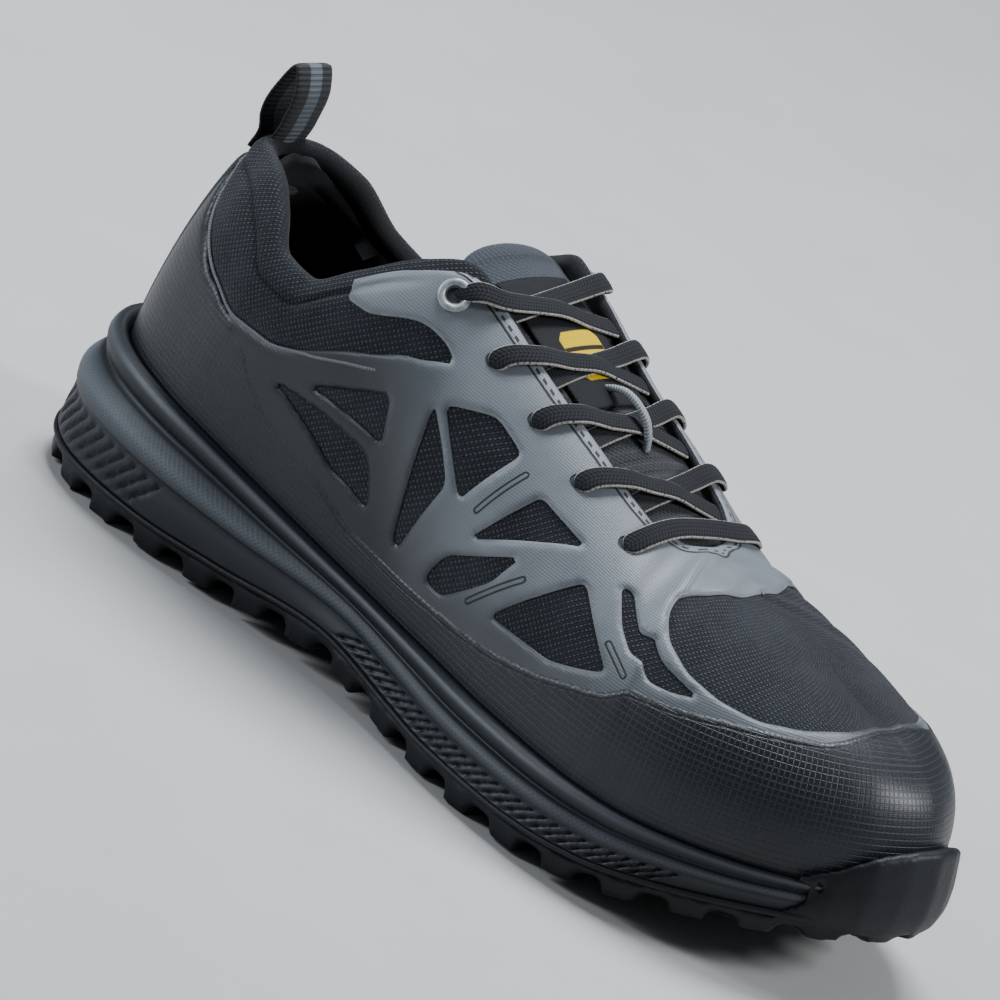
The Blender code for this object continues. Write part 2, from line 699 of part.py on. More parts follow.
def shell(skin, columns, low, high, foot, top, closed_top=None):
    """A layer over the skin: its columns, the rows it spans in each, and the heights of its two faces.

    closed_top marks the columns whose top edge is free; elsewhere the two sides meet on the ridge.
    """
    body = Body()
    columns = np.asarray(columns, float)
    low = np.broadcast_to(low, columns.shape)
    high = np.broadcast_to(high, columns.shape)
    levels = np.arange(int(np.floor(low.min())), int(np.ceil(high.max())) + 1)
    rows = np.clip(levels[None, :], low[:, None], high[:, None])
    cells = np.floor(columns[:-1]).astype(int) % skin.around
    flip = skin.flip[cells][:, np.clip(levels[:-1], 0, TOP_ROW - 1)]
    under = body.sheet(skin.at(columns[:, None], rows, foot), flip=flip)
    over = body.sheet(skin.at(columns[:, None], rows, top), flip=flip)
    body.strip(under[:, 0], over[:, 0])
    free = np.ones(len(columns), bool) if closed_top is None else closed_top
    for start in range(len(columns) - 1):
        if free[start] or free[start + 1]:
            pair = slice(start, start + 2)
            body.strip(under[pair, -1], over[pair, -1])
    for end in (0, -1):
        body.strip(under[end], over[end])
    return body


# The mudguard's upper edge: share of the side, and row of the skin as a share of its height
GUARD_EDGE = Table(
    "around row",
    [
        [0.000, 0.64],
        [0.110, 0.63],
        [0.150, 0.57],
        [0.192, 0.54],
        [0.235, 0.53],
        [0.262, 0.42],
        [0.290, 0.27],
        [0.344, 0.20],
        [0.397, 0.15],
        [0.502, 0.14],
        [0.577, 0.20],
        [0.650, 0.27],
        [0.708, 0.31],
        [0.790, 0.41],
        [0.870, 0.50],
        [0.930, 0.66],
        [0.965, 0.75],
        [1.000, 0.79],
    ],
)


def guard_row(skin, columns):
    folded = np.minimum(columns, skin.around - columns)
    share = np.interp(folded, np.arange(skin.side + 1), skin.shares)
    return GUARD_EDGE("row", share) * TOP_ROW


def make_counter(skin, finish):
    columns = np.arange(-COUNTER_COLUMNS, COUNTER_COLUMNS + 1)
    body = shell(skin, columns, 0.0, TOP_ROW - COUNTER_DROP, FILM_GAP, FILM_GAP + GUARD_WALL)
    return put("heel_counter", body, finish)


def make_mudguard(skin, finish):
    first = COUNTER_COLUMNS + SEAM
    columns = np.concatenate([[first], np.arange(COUNTER_COLUMNS + 1, skin.around - COUNTER_COLUMNS),
                              [skin.around - first]])
    body = shell(skin, columns, 0.0, guard_row(skin, columns), FILM_GAP, FILM_GAP + GUARD_WALL)
    return put("mudguard", body, finish)


# The windows that show the knit through the cage: corners as share of the side and share of the skin's height
WINDOWS = {
    "collar": [(0.225, 0.53), (0.277, 0.552), (0.356, 0.615), (0.417, 0.75), (0.394, 0.771), (0.362, 0.802),
               (0.318, 0.78), (0.292, 0.90), (0.284, 1.0), (0.225, 1.0)],
    "heel_long": [(0.279, 0.420), (0.382, 0.333), (0.397, 0.215), (0.324, 0.265)],
    "heel_top": [(0.306, 0.470), (0.379, 0.531), (0.388, 0.385)],
    "middle_back": [(0.417, 0.604), (0.466, 0.396), (0.443, 0.215), (0.432, 0.190), (0.423, 0.344)],
    "middle_front": [(0.429, 0.617), (0.467, 0.705), (0.505, 0.690), (0.472, 0.438)],
    "instep": [(0.500, 0.370), (0.542, 0.680), (0.600, 0.690)],
    "low": [(0.474, 0.180), (0.483, 0.271), (0.555, 0.480), (0.522, 0.322), (0.501, 0.190)],
    "forefoot": [(0.545, 0.255), (0.615, 0.583), (0.668, 0.364), (0.615, 0.310)],
    "vamp_side": [(0.647, 0.667), (0.665, 0.690), (0.677, 0.604), (0.708, 0.489), (0.755, 0.430),
                  (0.712, 0.374), (0.677, 0.507)],
}
# The vamp's opening: the same, from beside the ridge behind it round one side to beside the toe's middle
VAMP_WINDOW = [(0.785, 0.98), (0.742, 0.854), (0.703, 0.722), (0.688, 0.646), (0.730, 0.540), (0.782, 0.520),
               (0.855, 0.535), (0.917, 0.58), (0.965, 0.66), (0.99, 0.695)]


def window_cutter(skin, corners, sign):
    """A prism through the cage whose sides stand along the skin's normals."""
    around, row = np.array(corners).T
    column = skin.column(sign, around)
    body = Body()
    levels = [skin.at(column, row * TOP_ROW, out) for out in (-WINDOW_REACH, WINDOW_REACH)]
    rings = body.add(np.stack(levels, 1))
    body.quads(rings, loop=True)
    body.cap(rings[:, 0])
    body.cap(rings[:, 1])
    return body


def vamp_cutter(skin):
    """An upright prism over the toes, both sides at once."""
    around, row = np.array(VAMP_WINDOW).T
    lateral = skin.at(skin.column(-1, around), row * TOP_ROW)
    medial = skin.at(skin.column(1, around), row * TOP_ROW)
    outline = np.concatenate([lateral, medial[::-1]])
    body = Body()
    heights = (0.5 * BALL_STACK, BALL_STACK + 2 * INSTEP_RISE)
    levels = [stack(outline[:, 0], outline[:, 1], z) for z in heights]
    rings = body.add(np.stack(levels, 1))
    body.quads(rings, loop=True)
    body.cap(rings[:, 0])
    body.cap(rings[:, 1])
    return body


def make_cage(skin, finish):
    columns = np.arange(CAGE_START, skin.around - CAGE_START + 1)
    folded = np.minimum(columns, skin.around - columns)
    over_ridge = folded >= skin.throat
    high = np.where(over_ridge, 1.0, 1.0 - EYESTAY_MARGIN) * TOP_ROW
    low = guard_row(skin, columns) + SEAM
    body = shell(skin, columns, low, high, FILM_GAP, FILM_GAP + FILM, ~over_ridge)
    cage = put("cage", body, finish)
    for sign, side in ((-1, "lateral"), (1, "medial")):
        for window, corners in WINDOWS.items():
            cutter = put("cut_" + side + "_" + window, window_cutter(skin, corners, sign), finish, flat=True)
            boolean(cage, cutter, "DIFFERENCE")
    boolean(cage, put("cut_vamp", vamp_cutter(skin), finish, flat=True), "DIFFERENCE")
    weld(cage)
    return cage


def edge_out(along):
    return station(MIDSOLE_LINES["edge"][1::2], along) * MM + WELT_STAND


def hexahedron(body, bottom, top):
    """A block between two rings of four points."""
    rings = body.add(np.stack([bottom, top], 1))
    body.quads(rings, loop=True)
    body.cap(rings[:, 0])
    body.cap(rings[:, 1])


def tread_block(body, xy_inner):
    """A lug whose four corners at the root are given; its face on the floor is a little smaller."""
    middle = xy_inner.mean(0)
    face = xy_inner + unit(middle - xy_inner) * LUG_TAPER
    bottom = stack(face[:, 0], face[:, 1], floor_line(along_of(face[:, 0])))
    top = stack(xy_inner[:, 0], xy_inner[:, 1], tread_top(along_of(xy_inner[:, 0])) + LUG_ROOT)
    hexahedron(body, bottom, top)


def edge_lugs(body, sign):
    """The lugs along one side of the sole, from heel to toe."""
    fine = np.linspace(0, 1, 400)
    points, _ = plan(sign, fine)
    length = np.linalg.norm(np.diff(points, axis=0), axis=1).sum()
    half = LUG_LENGTH / 2 / length
    for k in range(LUGS_PER_SIDE):
        middle = (k + 0.5) / LUGS_PER_SIDE
        at = np.array([middle - half, middle + half])
        points, normal = plan(sign, at)
        out = edge_out(along_of(points[:, 0]))[:, None]
        outer = points + normal * out
        inner = points - normal * (LUG_REACH - out)
        tread_block(body, np.array([outer[0], outer[1], inner[1], inner[0]]))


def half_width(sign, x):
    """How far the outline reaches on one side at a place along the sole."""
    points, _ = plan(sign, np.linspace(0, 1, 200))
    return np.interp(x, points[:, 0], points[:, 1] * sign)


def middle_blocks(body, rows, skew):
    for along in rows:
        x = (along - 0.5) * SOLE_LENGTH
        centre = middle_line(along)
        for sign in (-1, 1):
            start = centre + sign * BLOCK_GAP / 2
            end = sign * (half_width(sign, x - skew) - LUG_REACH - BLOCK_GAP)
            corners = [(x, start), (x + BLOCK_LENGTH, start), (x + BLOCK_LENGTH - skew, end), (x - skew, end)]
            tread_block(body, np.array(corners))


def bumper_section(skin, step):
    """The toe bumper's section at one column of the skin: its face, its top edge, its ledge and its root."""
    column = skin.side + step
    sign = -1 if column <= skin.side else 1
    point, normal = plan(sign, skin.shares[[min(column, skin.around - column)]])
    along = along_of(point[:, 0])
    top = float(sole_top(along)[0])
    root = float(tread_top(along)[0]) + CLEARANCE
    under = float(parting_line(along)[0]) - 2 * CLEARANCE
    tucked = along_of(point[:, 0] - normal[:, 0] * BUMPER_TUCK)
    tucked_root = float(tread_top(tucked)[0]) + 2 * CLEARANCE
    tucked_under = float(parting_line(tucked)[0]) - 3 * CLEARANCE
    ledge = top + CLEARANCE
    height = top + BUMPER_RISE[abs(step)] * MM
    back = BUMPER_BACK[abs(step)] * MM
    behind = MIDSOLE_TOE + CLEARANCE

    def outward(out, z):
        xy = point[0] + normal[0] * out
        return np.array([xy[0], xy[1], z])

    def against_skin(z):
        guard = skin.at(column, np.linspace(0, TOP_ROW, 81), OVERLAY_STAND)
        return np.array([np.interp(z, guard[:, 2], guard[:, k]) for k in (0, 1, 2)])

    full = height > ledge + GUARD_WALL
    inside = against_skin(height - FILM) if full else outward(behind - GUARD_WALL, height)
    shoulder = against_skin(ledge) if full else outward(behind - GUARD_WALL, ledge)
    face = [outward(-behind_it - counts * back, root + share * (height - root))
            for share, behind_it, counts in BUMPER_FACE]
    thin = 1.0 if full else 0.4
    return [
        outward(-BUMPER_TUCK, tucked_root),
        *face,
        outward(-thin * BUMPER_SHOULDER - 0.7 * back, height - FILM),
        outward(-thin * BUMPER_EDGE - 0.5 * back, height),
        inside,
        shoulder,
        outward(behind, ledge),
        outward(behind, under),
        outward(-BUMPER_TUCK, tucked_under),
    ]


def bumper(skin):
    """The outsole's rubber carried up round the toe, swept from column to column."""
    reach = len(BUMPER_RISE) - 1
    body = Body()
    rings = body.add(np.array([bumper_section(skin, step) for step in range(-reach, reach + 1)]))
    body.quads(np.concatenate([rings, rings[:, :1]], 1))
    body.cap(rings[0])
    body.cap(rings[-1])
    return body


def make_outsole(skin, finish):
    body = Body()
    sides = []
    for sign in (-1, 1):
        points, normal = plan(sign, skin.shares)
        along = along_of(points[:, 0])
        out = edge_out(along)
        rows = []
        for inset, height in ((WELT_BEVEL, tread_top(along)), (0.0, tread_top(along) + 0.35 * OUTSOLE_BASE),
                              (0.0, parting_line(along) - CLEARANCE)):
            xy = points + normal * (out - inset)[:, None]
            rows.append(stack(xy[:, 0], xy[:, 1], height))
        sides.append(np.stack(rows, 1))
    grid = body.sheet(join_medial(*sides), loop=True)
    side = skin.side
    back = np.concatenate([grid[:1], grid[: side - 1 : -1]])
    for row in (0, -1):
        ladder(body, grid[: side + 1, row], back[:, row])
    outsole = put("outsole", body, finish)
    for sign, name in ((-1, "lugs_lateral"), (1, "lugs_medial")):
        lugs = Body()
        edge_lugs(lugs, sign)
        boolean(outsole, put(name, lugs, finish, flat=True), "UNION")
    blocks = Body()
    middle_blocks(blocks, HEEL_BLOCKS, HEEL_SKEW)
    middle_blocks(blocks, FORE_BLOCKS, FORE_SKEW)
    boolean(outsole, put("lugs_middle", blocks, finish, flat=True), "UNION")
    boolean(outsole, put("toe_bumper", bumper(skin), finish), "UNION")
    return outsole


def make_insole(skin, finish):
    body = Body()
    inset = UPPER_INSET * RIBS("inset", skin.shares) + WALL + 2 * FILM_GAP
    sides = []
    for sign in (-1, 1):
        low = inset_plan(sign, skin.shares, inset, lambda along: seat_height(along) + CLEARANCE)
        high = low + [0, 0, INSOLE_THICKNESS]
        sides.append(np.stack([low, high], 1))
    grid = body.sheet(join_medial(*sides), loop=True)
    side = skin.side
    back = np.concatenate([grid[:1], grid[: side - 1 : -1]])
    for row in (0, -1):
        ladder(body, grid[: side + 1, row], back[:, row])
    return put("insole", body, finish)


def open_curve(points, count):
    """A smooth curve through the points in order, cut into evenly spaced pieces."""
    points = np.asarray(points, float)
    chord = np.linalg.norm(np.diff(points, axis=0), axis=1)
    at = np.concatenate([[0], np.cumsum(chord)])
    tangent = np.gradient(points, at, axis=0)
    fine = np.linspace(0, at[-1], 300)
    i = np.clip(np.searchsorted(at, fine, side="right") - 1, 0, len(chord) - 1)
    h = chord[i][:, None]
    u = ((fine - at[i]) / chord[i])[:, None]
    dense = (
        points[i] * (1 + 2 * u) * (1 - u) ** 2
        + points[i + 1] * u * u * (3 - 2 * u)
        + h * tangent[i] * u * (1 - u) ** 2
        - h * tangent[i + 1] * u * u * (1 - u)
    )
    length = np.concatenate([[0], np.cumsum(np.linalg.norm(np.diff(dense, axis=0), axis=1))])
    even = np.linspace(0, length[-1], count)
    return np.stack([np.interp(even, length, dense[:, k]) for k in range(3)], 1)


def sweep(body, path, upward, width, thickness):
    """Carries an oval of that width and thickness along a path, its flat side facing the upward vectors."""
    way = unit(np.gradient(path, axis=0))
    sideways = unit(np.cross(upward, way))
    upward = np.cross(way, sideways)
    angle = np.linspace(0, 2 * np.pi, STRAND_CORNERS, endpoint=False)
    across = np.sign(np.cos(angle)) * np.abs(np.cos(angle)) ** 0.6 * width / 2
    through = np.sin(angle) * thickness / 2
    through = through * (thickness / 2 / np.abs(through).max())
    width_part = sideways[:, None] * across[None, :, None]
    depth_part = upward[:, None] * through[None, :, None]
    rings = body.add(path[:, None] + width_part + depth_part)
    body.quads(np.concatenate([rings, rings[:, :1]], 1))
    body.cap(rings[0])
    body.cap(rings[-1])


class TongueForm:
    """The tongue's upper face: sections from its free end down to the toe, five points across each."""

    def __init__(self, skin):
        thick = wall_thickness(skin)
        sections = []
        for column in range(TONGUE_FIRST, skin.throat + 2):
            tucked = column >= skin.throat
            gap = TONGUE_TUCK_GAP if tucked else TONGUE_GAP
            rows = (TOP_ROW - 2, TOP_ROW - 1) if tucked else (TOP_ROW - 1, TOP_ROW)
            sides = [
                [skin.at(place, row, -(thick[place][row] + gap)) for row in rows]
                for place in (column, skin.around - column)
            ]
            edges = np.array([sides[0][1], sides[1][1]])
            middle = edges.mean(0) + [0, 0, TONGUE_CROWN * np.linalg.norm(edges[0] - edges[1])]
            if tucked:
                middle = skin.at(column, TOP_ROW, -(thick[column][TOP_ROW] + gap))
            sections.append([sides[0][0], sides[0][1], middle, sides[1][1], sides[1][0]])
        first = np.array(sections[0])
        for back, up, narrow in TONGUE_LOBE:
            middle = first[2]
            spread = (first - middle) * narrow
            sections.insert(0, middle + spread + np.array([back, 0, up]) * MM)
        self.points = np.array(sections)
        self.flip = np.zeros((len(sections) - 1, 4), bool)
        columns = np.arange(TONGUE_FIRST, skin.throat)
        facing = len(TONGUE_LOBE) + np.arange(len(columns))
        self.flip[facing, 0] = skin.flip[columns, TOP_ROW - 1]
        self.flip[facing, 3] = skin.flip[skin.around - columns - 1, TOP_ROW - 1]
        along = np.gradient(self.points, axis=0)
        across = np.gradient(self.points, axis=1)
        self.normal = unit(np.cross(along, across))

    def at(self, section, across, out=0.0):
        """Points over the tongue: section from 0 at its free end, across from -1 lateral to 1 medial."""
        section, across, out = np.broadcast_arrays(section, across, out)
        column = np.clip((across + 1) * 2, 0, 4)
        i = np.minimum(np.floor(section).astype(int), len(self.points) - 2)
        j = np.minimum(np.floor(column).astype(int), 3)
        fi = (section - i)[..., None]
        fj = (column - j)[..., None]
        mixed = []
        for grid in (self.points, self.normal):
            low = grid[i, j] * (1 - fi) + grid[i + 1, j] * fi
            high = grid[i, j + 1] * (1 - fi) + grid[i + 1, j + 1] * fi
            mixed.append(low * (1 - fj) + high * fj)
        return mixed[0] + unit(mixed[1]) * out[..., None]

    def above(self, x, across, out):
        """The point over the tongue's line at that share across which lies at that x."""
        section = np.linspace(0, len(self.points) - 1, 200)
        line = self.at(section, across)
        return self.at(np.interp(x, line[:, 0], section), across, out)


def slab(points_under, points_over, flip=False):
    """A closed piece between two grids of points of the same shape."""
    body = Body()
    under = body.sheet(points_under, flip=flip)
    over = body.sheet(points_over, flip=flip)
    for edge in (np.s_[0], np.s_[-1]):
        body.strip(under[edge], over[edge])
        body.strip(under[:, edge], over[:, edge])
    return body


def make_tongue(tongue, finish):
    under = tongue.points - tongue.normal * TONGUE_THICKNESS
    return put("tongue", slab(under, tongue.points, tongue.flip), finish)


def make_label(tongue, finish):
    section = np.linspace(LABEL_FROM, LABEL_TO, 5)[:, None]
    across = np.linspace(-LABEL_HALF, LABEL_HALF, 5)[None, :]
    under = tongue.at(section, across, LABEL_GAP)
    over = tongue.at(section, across, LABEL_GAP + LABEL_THICKNESS)
    return put("tongue_label", slab(under, over), finish)


def lace_end(skin, sign, share, row, out):
    """A point over the eyestay and the direction that faces out of it."""
    column = skin.column(sign, share)
    foot = skin.at(column, row * TOP_ROW)
    way = unit(skin.at(column, row * TOP_ROW, MM) - foot)
    return foot + way * out, way


def strand(skin, sign, row, dive, lift):
    """Half a crossing: from an eyelet over the throat, down to the far edge before the next eyelet."""
    share, height = EYELETS[row]
    step = EYELETS[row + 1][0] - share
    over_hole = EYELET_TOP + 3 * CLEARANCE + LACE_THICKNESS / 2 if row == 0 else LACE_STAND
    hole, hole_up = lace_end(skin, sign, share, height, over_hole)
    edge, edge_up = lace_end(skin, sign, share + 0.15 * step, 1.0, (LACE_STAND + over_hole) / 2)
    edge = edge + [0, 0, 2 * CLEARANCE]
    far = skin.at(skin.column(-sign, share + dive * step), TOP_ROW)
    near = skin.at(skin.column(sign, share + dive * step), TOP_ROW)
    finish = far + unit(near - far) * (LACE_WIDTH / 2 + CLEARANCE) + [0, 0, CLEARANCE]
    crossing = (edge + finish) / 2
    crossing[2] = max(edge[2], finish[2]) + lift
    path = open_curve([hole, edge, crossing, finish], LACE_PIECES)
    up = unit(np.array([0.35, 0, 1.0]))
    along = np.linspace(0, 1, LACE_PIECES)[:, None]
    upward = hole_up * np.clip(1 - 4 * along, 0, 1) + edge_up * np.clip(1 - abs(4 * along - 1), 0, 1)
    upward = unit(upward + up * np.clip(2.5 * along - 0.25, 0.05, 1))
    body = Body()
    sweep(body, path, upward, LACE_WIDTH, LACE_THICKNESS)
    return body


def make_laces(skin, finish):
    for row in range(len(EYELETS) - 1):
        last = row == len(EYELETS) - 2
        dives = {name: LACE_LAST_DIVE if last else dive for name, dive in LACE_DIVE.items()}
        lower = strand(skin, 1, row, dives["under"], CLEARANCE)
        upper = strand(skin, -1, row, dives["over"], CLEARANCE + LACE_OVER * LACE_THICKNESS)
        crossing = put("lace_crossing_%d" % (row + 1), lower, finish)
        boolean(crossing, put("lace_over_%d" % (row + 1), upper, finish), "UNION")
    share, height = EYELETS[-1]
    stops = [
        lace_end(skin, -1, share, height, LACE_STAND),
        lace_end(skin, -1, share, 1.0, LACE_STAND + CLEARANCE),
        lace_end(skin, 1, share, 1.0, LACE_STAND + CLEARANCE),
        lace_end(skin, 1, share, height, LACE_STAND),
    ]
    path = open_curve([stop[0] for stop in stops], LACE_PIECES)
    at = np.linspace(0, 3, LACE_PIECES)
    upward = np.stack([np.interp(at, range(4), [stop[1][k] for stop in stops]) for k in range(3)], 1)
    body = Body()
    sweep(body, path, upward, LACE_WIDTH, LACE_THICKNESS)
    put("lace_bar", body, finish)


def make_keeper(skin, tongue, finish):
    """A cord arch along the tongue's middle line, over one crossing."""
    share = EYELETS[KEEPER_ROW][0] + KEEPER_CENTRE * (EYELETS[KEEPER_ROW + 1][0] - EYELETS[KEEPER_ROW][0])
    edges = [skin.at(skin.column(sign, share), TOP_ROW) for sign in (-1, 1)]
    x = (edges[0][0] + edges[1][0]) / 2
    top = edges[0][2] + LACE_STAND + 2.3 * LACE_THICKNESS + 3 * CLEARANCE + KEEPER_CORD
    half = KEEPER_LENGTH / 2
    low = KEEPER_CORD / 2 + FILM_GAP
    slope = (tongue.above(x + half, 0.0, 0)[2] - tongue.above(x - half, 0.0, 0)[2]) / KEEPER_LENGTH
    places = [tongue.above(x - half, 0.0, low)]
    for share_along in KEEPER_STEPS:
        foot = tongue.above(x + share_along * half, 0.0, low)
        raised = np.array([x + share_along * half, foot[1], top + slope * share_along * half])
        weight = 1.0 if abs(share_along) < 0.5 else 0.8
        places.append(foot * (1 - weight) + raised * weight)
    places.append(tongue.above(x + half, 0.0, low))
    path = open_curve(places, KEEPER_PIECES)
    body = Body()
    sweep(body, path, np.tile([0.3, 0, 1.0], (len(path), 1)), KEEPER_CORD, KEEPER_CORD)
    return put("lace_keeper", body, finish)


def make_eyelet(skin, sign, name, finish):
    """A flanged ring on the top eyelet that follows the skin."""
    share, row = EYELETS[0]
    column = skin.column(sign, share)
    row = row * TOP_ROW
    step = 0.05
    along_column = (skin.at(column + step, row) - skin.at(column - step, row)) / (2 * step)
    along_row = (skin.at(column, row + step) - skin.at(column, row - step)) / (2 * step)
    normal = unit(np.cross(along_column, along_row))
    first = unit(along_column)
    second = np.cross(normal, first)
    profile = np.array([[1.0, 0.0], [0.95, 0.6], [0.8, 1.0], [0.66, 0.7], [EYELET_HOLE, 0.0]])
    angle = np.linspace(0, 2 * np.pi, EYELET_CORNERS, endpoint=False)[:, None]
    radius = profile[:, 0] * EYELET_RADIUS
    offset = radius[None, :, None] * (np.cos(angle)[..., None] * first + np.sin(angle)[..., None] * second)
    basis = np.stack([along_column, along_row], 1)
    steps = offset @ np.linalg.pinv(basis).T
    height = FILM_GAP + FILM + EYELET_GAP + profile[:, 1] * EYELET_HEIGHT
    points = skin.at(column + steps[..., 0], row + steps[..., 1], height[None, :])
    body = Body()
    grid = body.add(points)
    body.quads(np.concatenate([grid, grid[:, :1]], 1), loop=True)
    return put(name, body, finish)


def make_loop(skin, finish):
    """The pull loop: webbing up the back of the heel, over, and down inside the collar."""
    thick = wall_thickness(skin)[0]
    half = LOOP_THICKNESS / 2
    outer = [skin.at(0, TOP_ROW - 1.0 + up, LOOP_OUTER_GAP + half) for up in (0.0, 0.8)]
    inner = [skin.at(0, row, -(thick[row] + LOOP_INNER_GAP + half)) for row in (TOP_ROW, TOP_ROW - 1)]
    middle = (outer[1] + inner[0]) / 2
    rim = middle[2] + 0.35 * thick[TOP_ROW]
    arch = [[middle[0] + out * MM, middle[1], rim + up * LOOP_HEIGHT] for out, up in LOOP_CURVE]
    path = open_curve([*outer, *arch, *inner], LOOP_PIECES)
    way = unit(np.gradient(path, axis=0))
    body = Body()
    sweep(body, path, np.cross(way, [0, 1.0, 0]), LOOP_WIDTH, LOOP_THICKNESS)
    return put("pull_loop", body, finish)


def clear_scene():
    for thing in list(bpy.data.objects):
        bpy.data.objects.remove(thing, do_unlink=True)


def main():
    clear_scene()
    skin = Skin()
    tongue = TongueForm(skin)
    rubber = material("outsole_rubber", (0.012, 0.014, 0.017), 0.5)
    foam = material("midsole_foam", (0.016, 0.019, 0.024), 0.45)
    knit = material("knit_mesh", (0.03, 0.033, 0.04), 0.9)
    film = material("ripstop_film", (0.05, 0.06, 0.07), 0.45)
    dark_film = material("dark_film", (0.02, 0.023, 0.028), 0.4)
    lining = material("lining", (0.012, 0.013, 0.015), 0.95)
    lace = material("lace", (0.03, 0.032, 0.036), 0.85)
    keeper = material("keeper_cord", (0.35, 0.38, 0.4), 0.7)
    metal = material("eyelet_metal", (0.4, 0.43, 0.45), 0.4, 0.8)
    webbing = material("webbing", (0.012, 0.013, 0.015), 0.85)
    yellow = material("label_yellow", (0.75, 0.5, 0.0), 0.6)
    make_outsole(skin, rubber)
    make_midsole(skin, foam)
    make_insole(skin, lining)
    make_upper(skin, knit)
    make_counter(skin, dark_film)
    make_mudguard(skin, dark_film)
    make_cage(skin, film)
    make_tongue(tongue, knit)
    make_label(tongue, yellow)
    make_laces(skin, lace)
    make_keeper(skin, tongue, keeper)
    make_eyelet(skin, -1, "eyelet_lateral", metal)
    make_eyelet(skin, 1, "eyelet_medial", metal)
    make_loop(skin, webbing)


if __name__ == "__main__":
    main()
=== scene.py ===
"""Safety sneaker for the right foot, dressed for its picture.

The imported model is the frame: its sole, pieces and sizes stay where they are. This add-on puts the visible
surfaces over them. The toe points along +X, the outer (lateral) side is at -Y, the floor is z = 0, in metres.
The upper is one skin: a share from 0 at the heel to 1 at the toe on each side, and a row from 0 at the sole
to 1 at the topline. Films, seams, laces and tongue are all placed on it.
"""

import bmesh
import bpy
import numpy as np
from bpy.props import FloatProperty, FloatVectorProperty, PointerProperty
from mathutils import Matrix, Vector


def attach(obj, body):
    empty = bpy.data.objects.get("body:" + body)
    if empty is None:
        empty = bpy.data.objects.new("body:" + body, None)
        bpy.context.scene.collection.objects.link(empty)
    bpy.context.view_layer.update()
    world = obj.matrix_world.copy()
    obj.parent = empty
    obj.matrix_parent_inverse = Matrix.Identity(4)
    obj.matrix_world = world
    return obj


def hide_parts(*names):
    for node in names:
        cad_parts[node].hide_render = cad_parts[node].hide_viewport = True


bl_info = {
    "name": "Safety sneaker",
    "version": (1, 0, 0),
    "blender": (4, 5, 0),
    "location": "View3D > Sidebar > Sneaker",
    "description": "Dresses the packed safety sneaker with its knit, films, laces and sole",
    "category": "Object",
}

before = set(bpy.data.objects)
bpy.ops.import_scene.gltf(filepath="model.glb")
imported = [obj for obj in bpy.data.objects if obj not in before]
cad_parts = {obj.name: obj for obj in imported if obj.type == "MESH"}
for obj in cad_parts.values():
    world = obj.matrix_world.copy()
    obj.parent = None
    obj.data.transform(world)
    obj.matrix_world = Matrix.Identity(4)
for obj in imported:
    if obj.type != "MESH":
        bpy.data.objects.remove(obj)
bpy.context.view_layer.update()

MM = 0.001

# The sizes that the part is built from
SOLE_LENGTH = 300 * MM
BALL_WIDTH = 110 * MM
HEEL_STACK = 42 * MM
BALL_STACK = 25.5 * MM
TOE_SPRING = 20 * MM
ARCH_RISE = 5 * MM
OUTSOLE_BASE = 3.2 * MM
LUG_DEPTH = 4.5 * MM
INSTEP_RISE = 88 * MM
THROAT_HALF_GAP = 21 * MM
UPPER_INSET = 9.0 * MM
FEATHER_DEPTH = 4 * MM
WALL = 2.2 * MM
COLLAR_PAD = 7.0 * MM
TONGUE_THICKNESS = 4.5 * MM
LOOP_HEIGHT = 24 * MM
THROAT_END = 0.70
COLLAR_PULL = 30 * MM


class Table:
    """Rows of numbers under named columns, read along a smooth curve at any value of the first column."""

    def __init__(self, names, rows):
        self.names = names.split()
        self.rows = np.array(rows, float)

    def __call__(self, name, at):
        return smooth(self.rows[:, 0], self.rows[:, self.names.index(name)], at)


def smooth(knots, values, at):
    """A curve through the values that rises and falls only where they do (monotone cubic)."""
    knots = np.asarray(knots, float)
    values = np.asarray(values, float)
    at = np.clip(at, knots[0], knots[-1])
    step = np.diff(knots)
    slope = np.diff(values) / step
    before, after = slope[:-1], slope[1:]
    w_before = 2 * step[1:] + step[:-1]
    w_after = step[1:] + 2 * step[:-1]
    same_way = before * after > 0
    safe_before = np.where(same_way, before, 1.0)
    safe_after = np.where(same_way, after, 1.0)
    inner = (w_before + w_after) / (w_before / safe_before + w_after / safe_after)
    tangent = np.concatenate([slope[:1], np.where(same_way, inner, 0.0), slope[-1:]])
    i = np.clip(np.searchsorted(knots, at, side="right") - 1, 0, len(step) - 1)
    u = (at - knots[i]) / step[i]
    return (
        values[i] * (1 + 2 * u) * (1 - u) ** 2
        + values[i + 1] * u * u * (3 - 2 * u)
        + step[i] * tangent[i] * u * (1 - u) ** 2
        - step[i] * tangent[i + 1] * u * u * (1 - u)
    )


def unit(vectors):
    """Each vector divided by its own length."""
    return vectors / np.maximum(np.linalg.norm(vectors, axis=-1, keepdims=True), 1e-12)


def stack(x, y, z):
    """Points from three arrays of coordinates, spread to one shape."""
    return np.stack(np.broadcast_arrays(x, y, z), axis=-1)


# The sole's outline from above, heel to toe: shares of the sole's length and of the ball's width
SOLE_PLAN = Table(
    "along lateral medial",
    [
        [0.008, 0.125, 0.145],
        [0.035, 0.235, 0.245],
        [0.085, 0.318, 0.318],
        [0.160, 0.362, 0.348],
        [0.280, 0.366, 0.335],
        [0.400, 0.376, 0.322],
        [0.500, 0.408, 0.346],
        [0.600, 0.466, 0.425],
        [0.690, 0.498, 0.488],
        [0.750, 0.500, 0.500],
        [0.820, 0.470, 0.485],
        [0.890, 0.388, 0.428],
        [0.945, 0.275, 0.335],
        [0.982, 0.135, 0.210],
    ],
)
HEEL_SWING = 0.01
TOE_SWING = 0.045


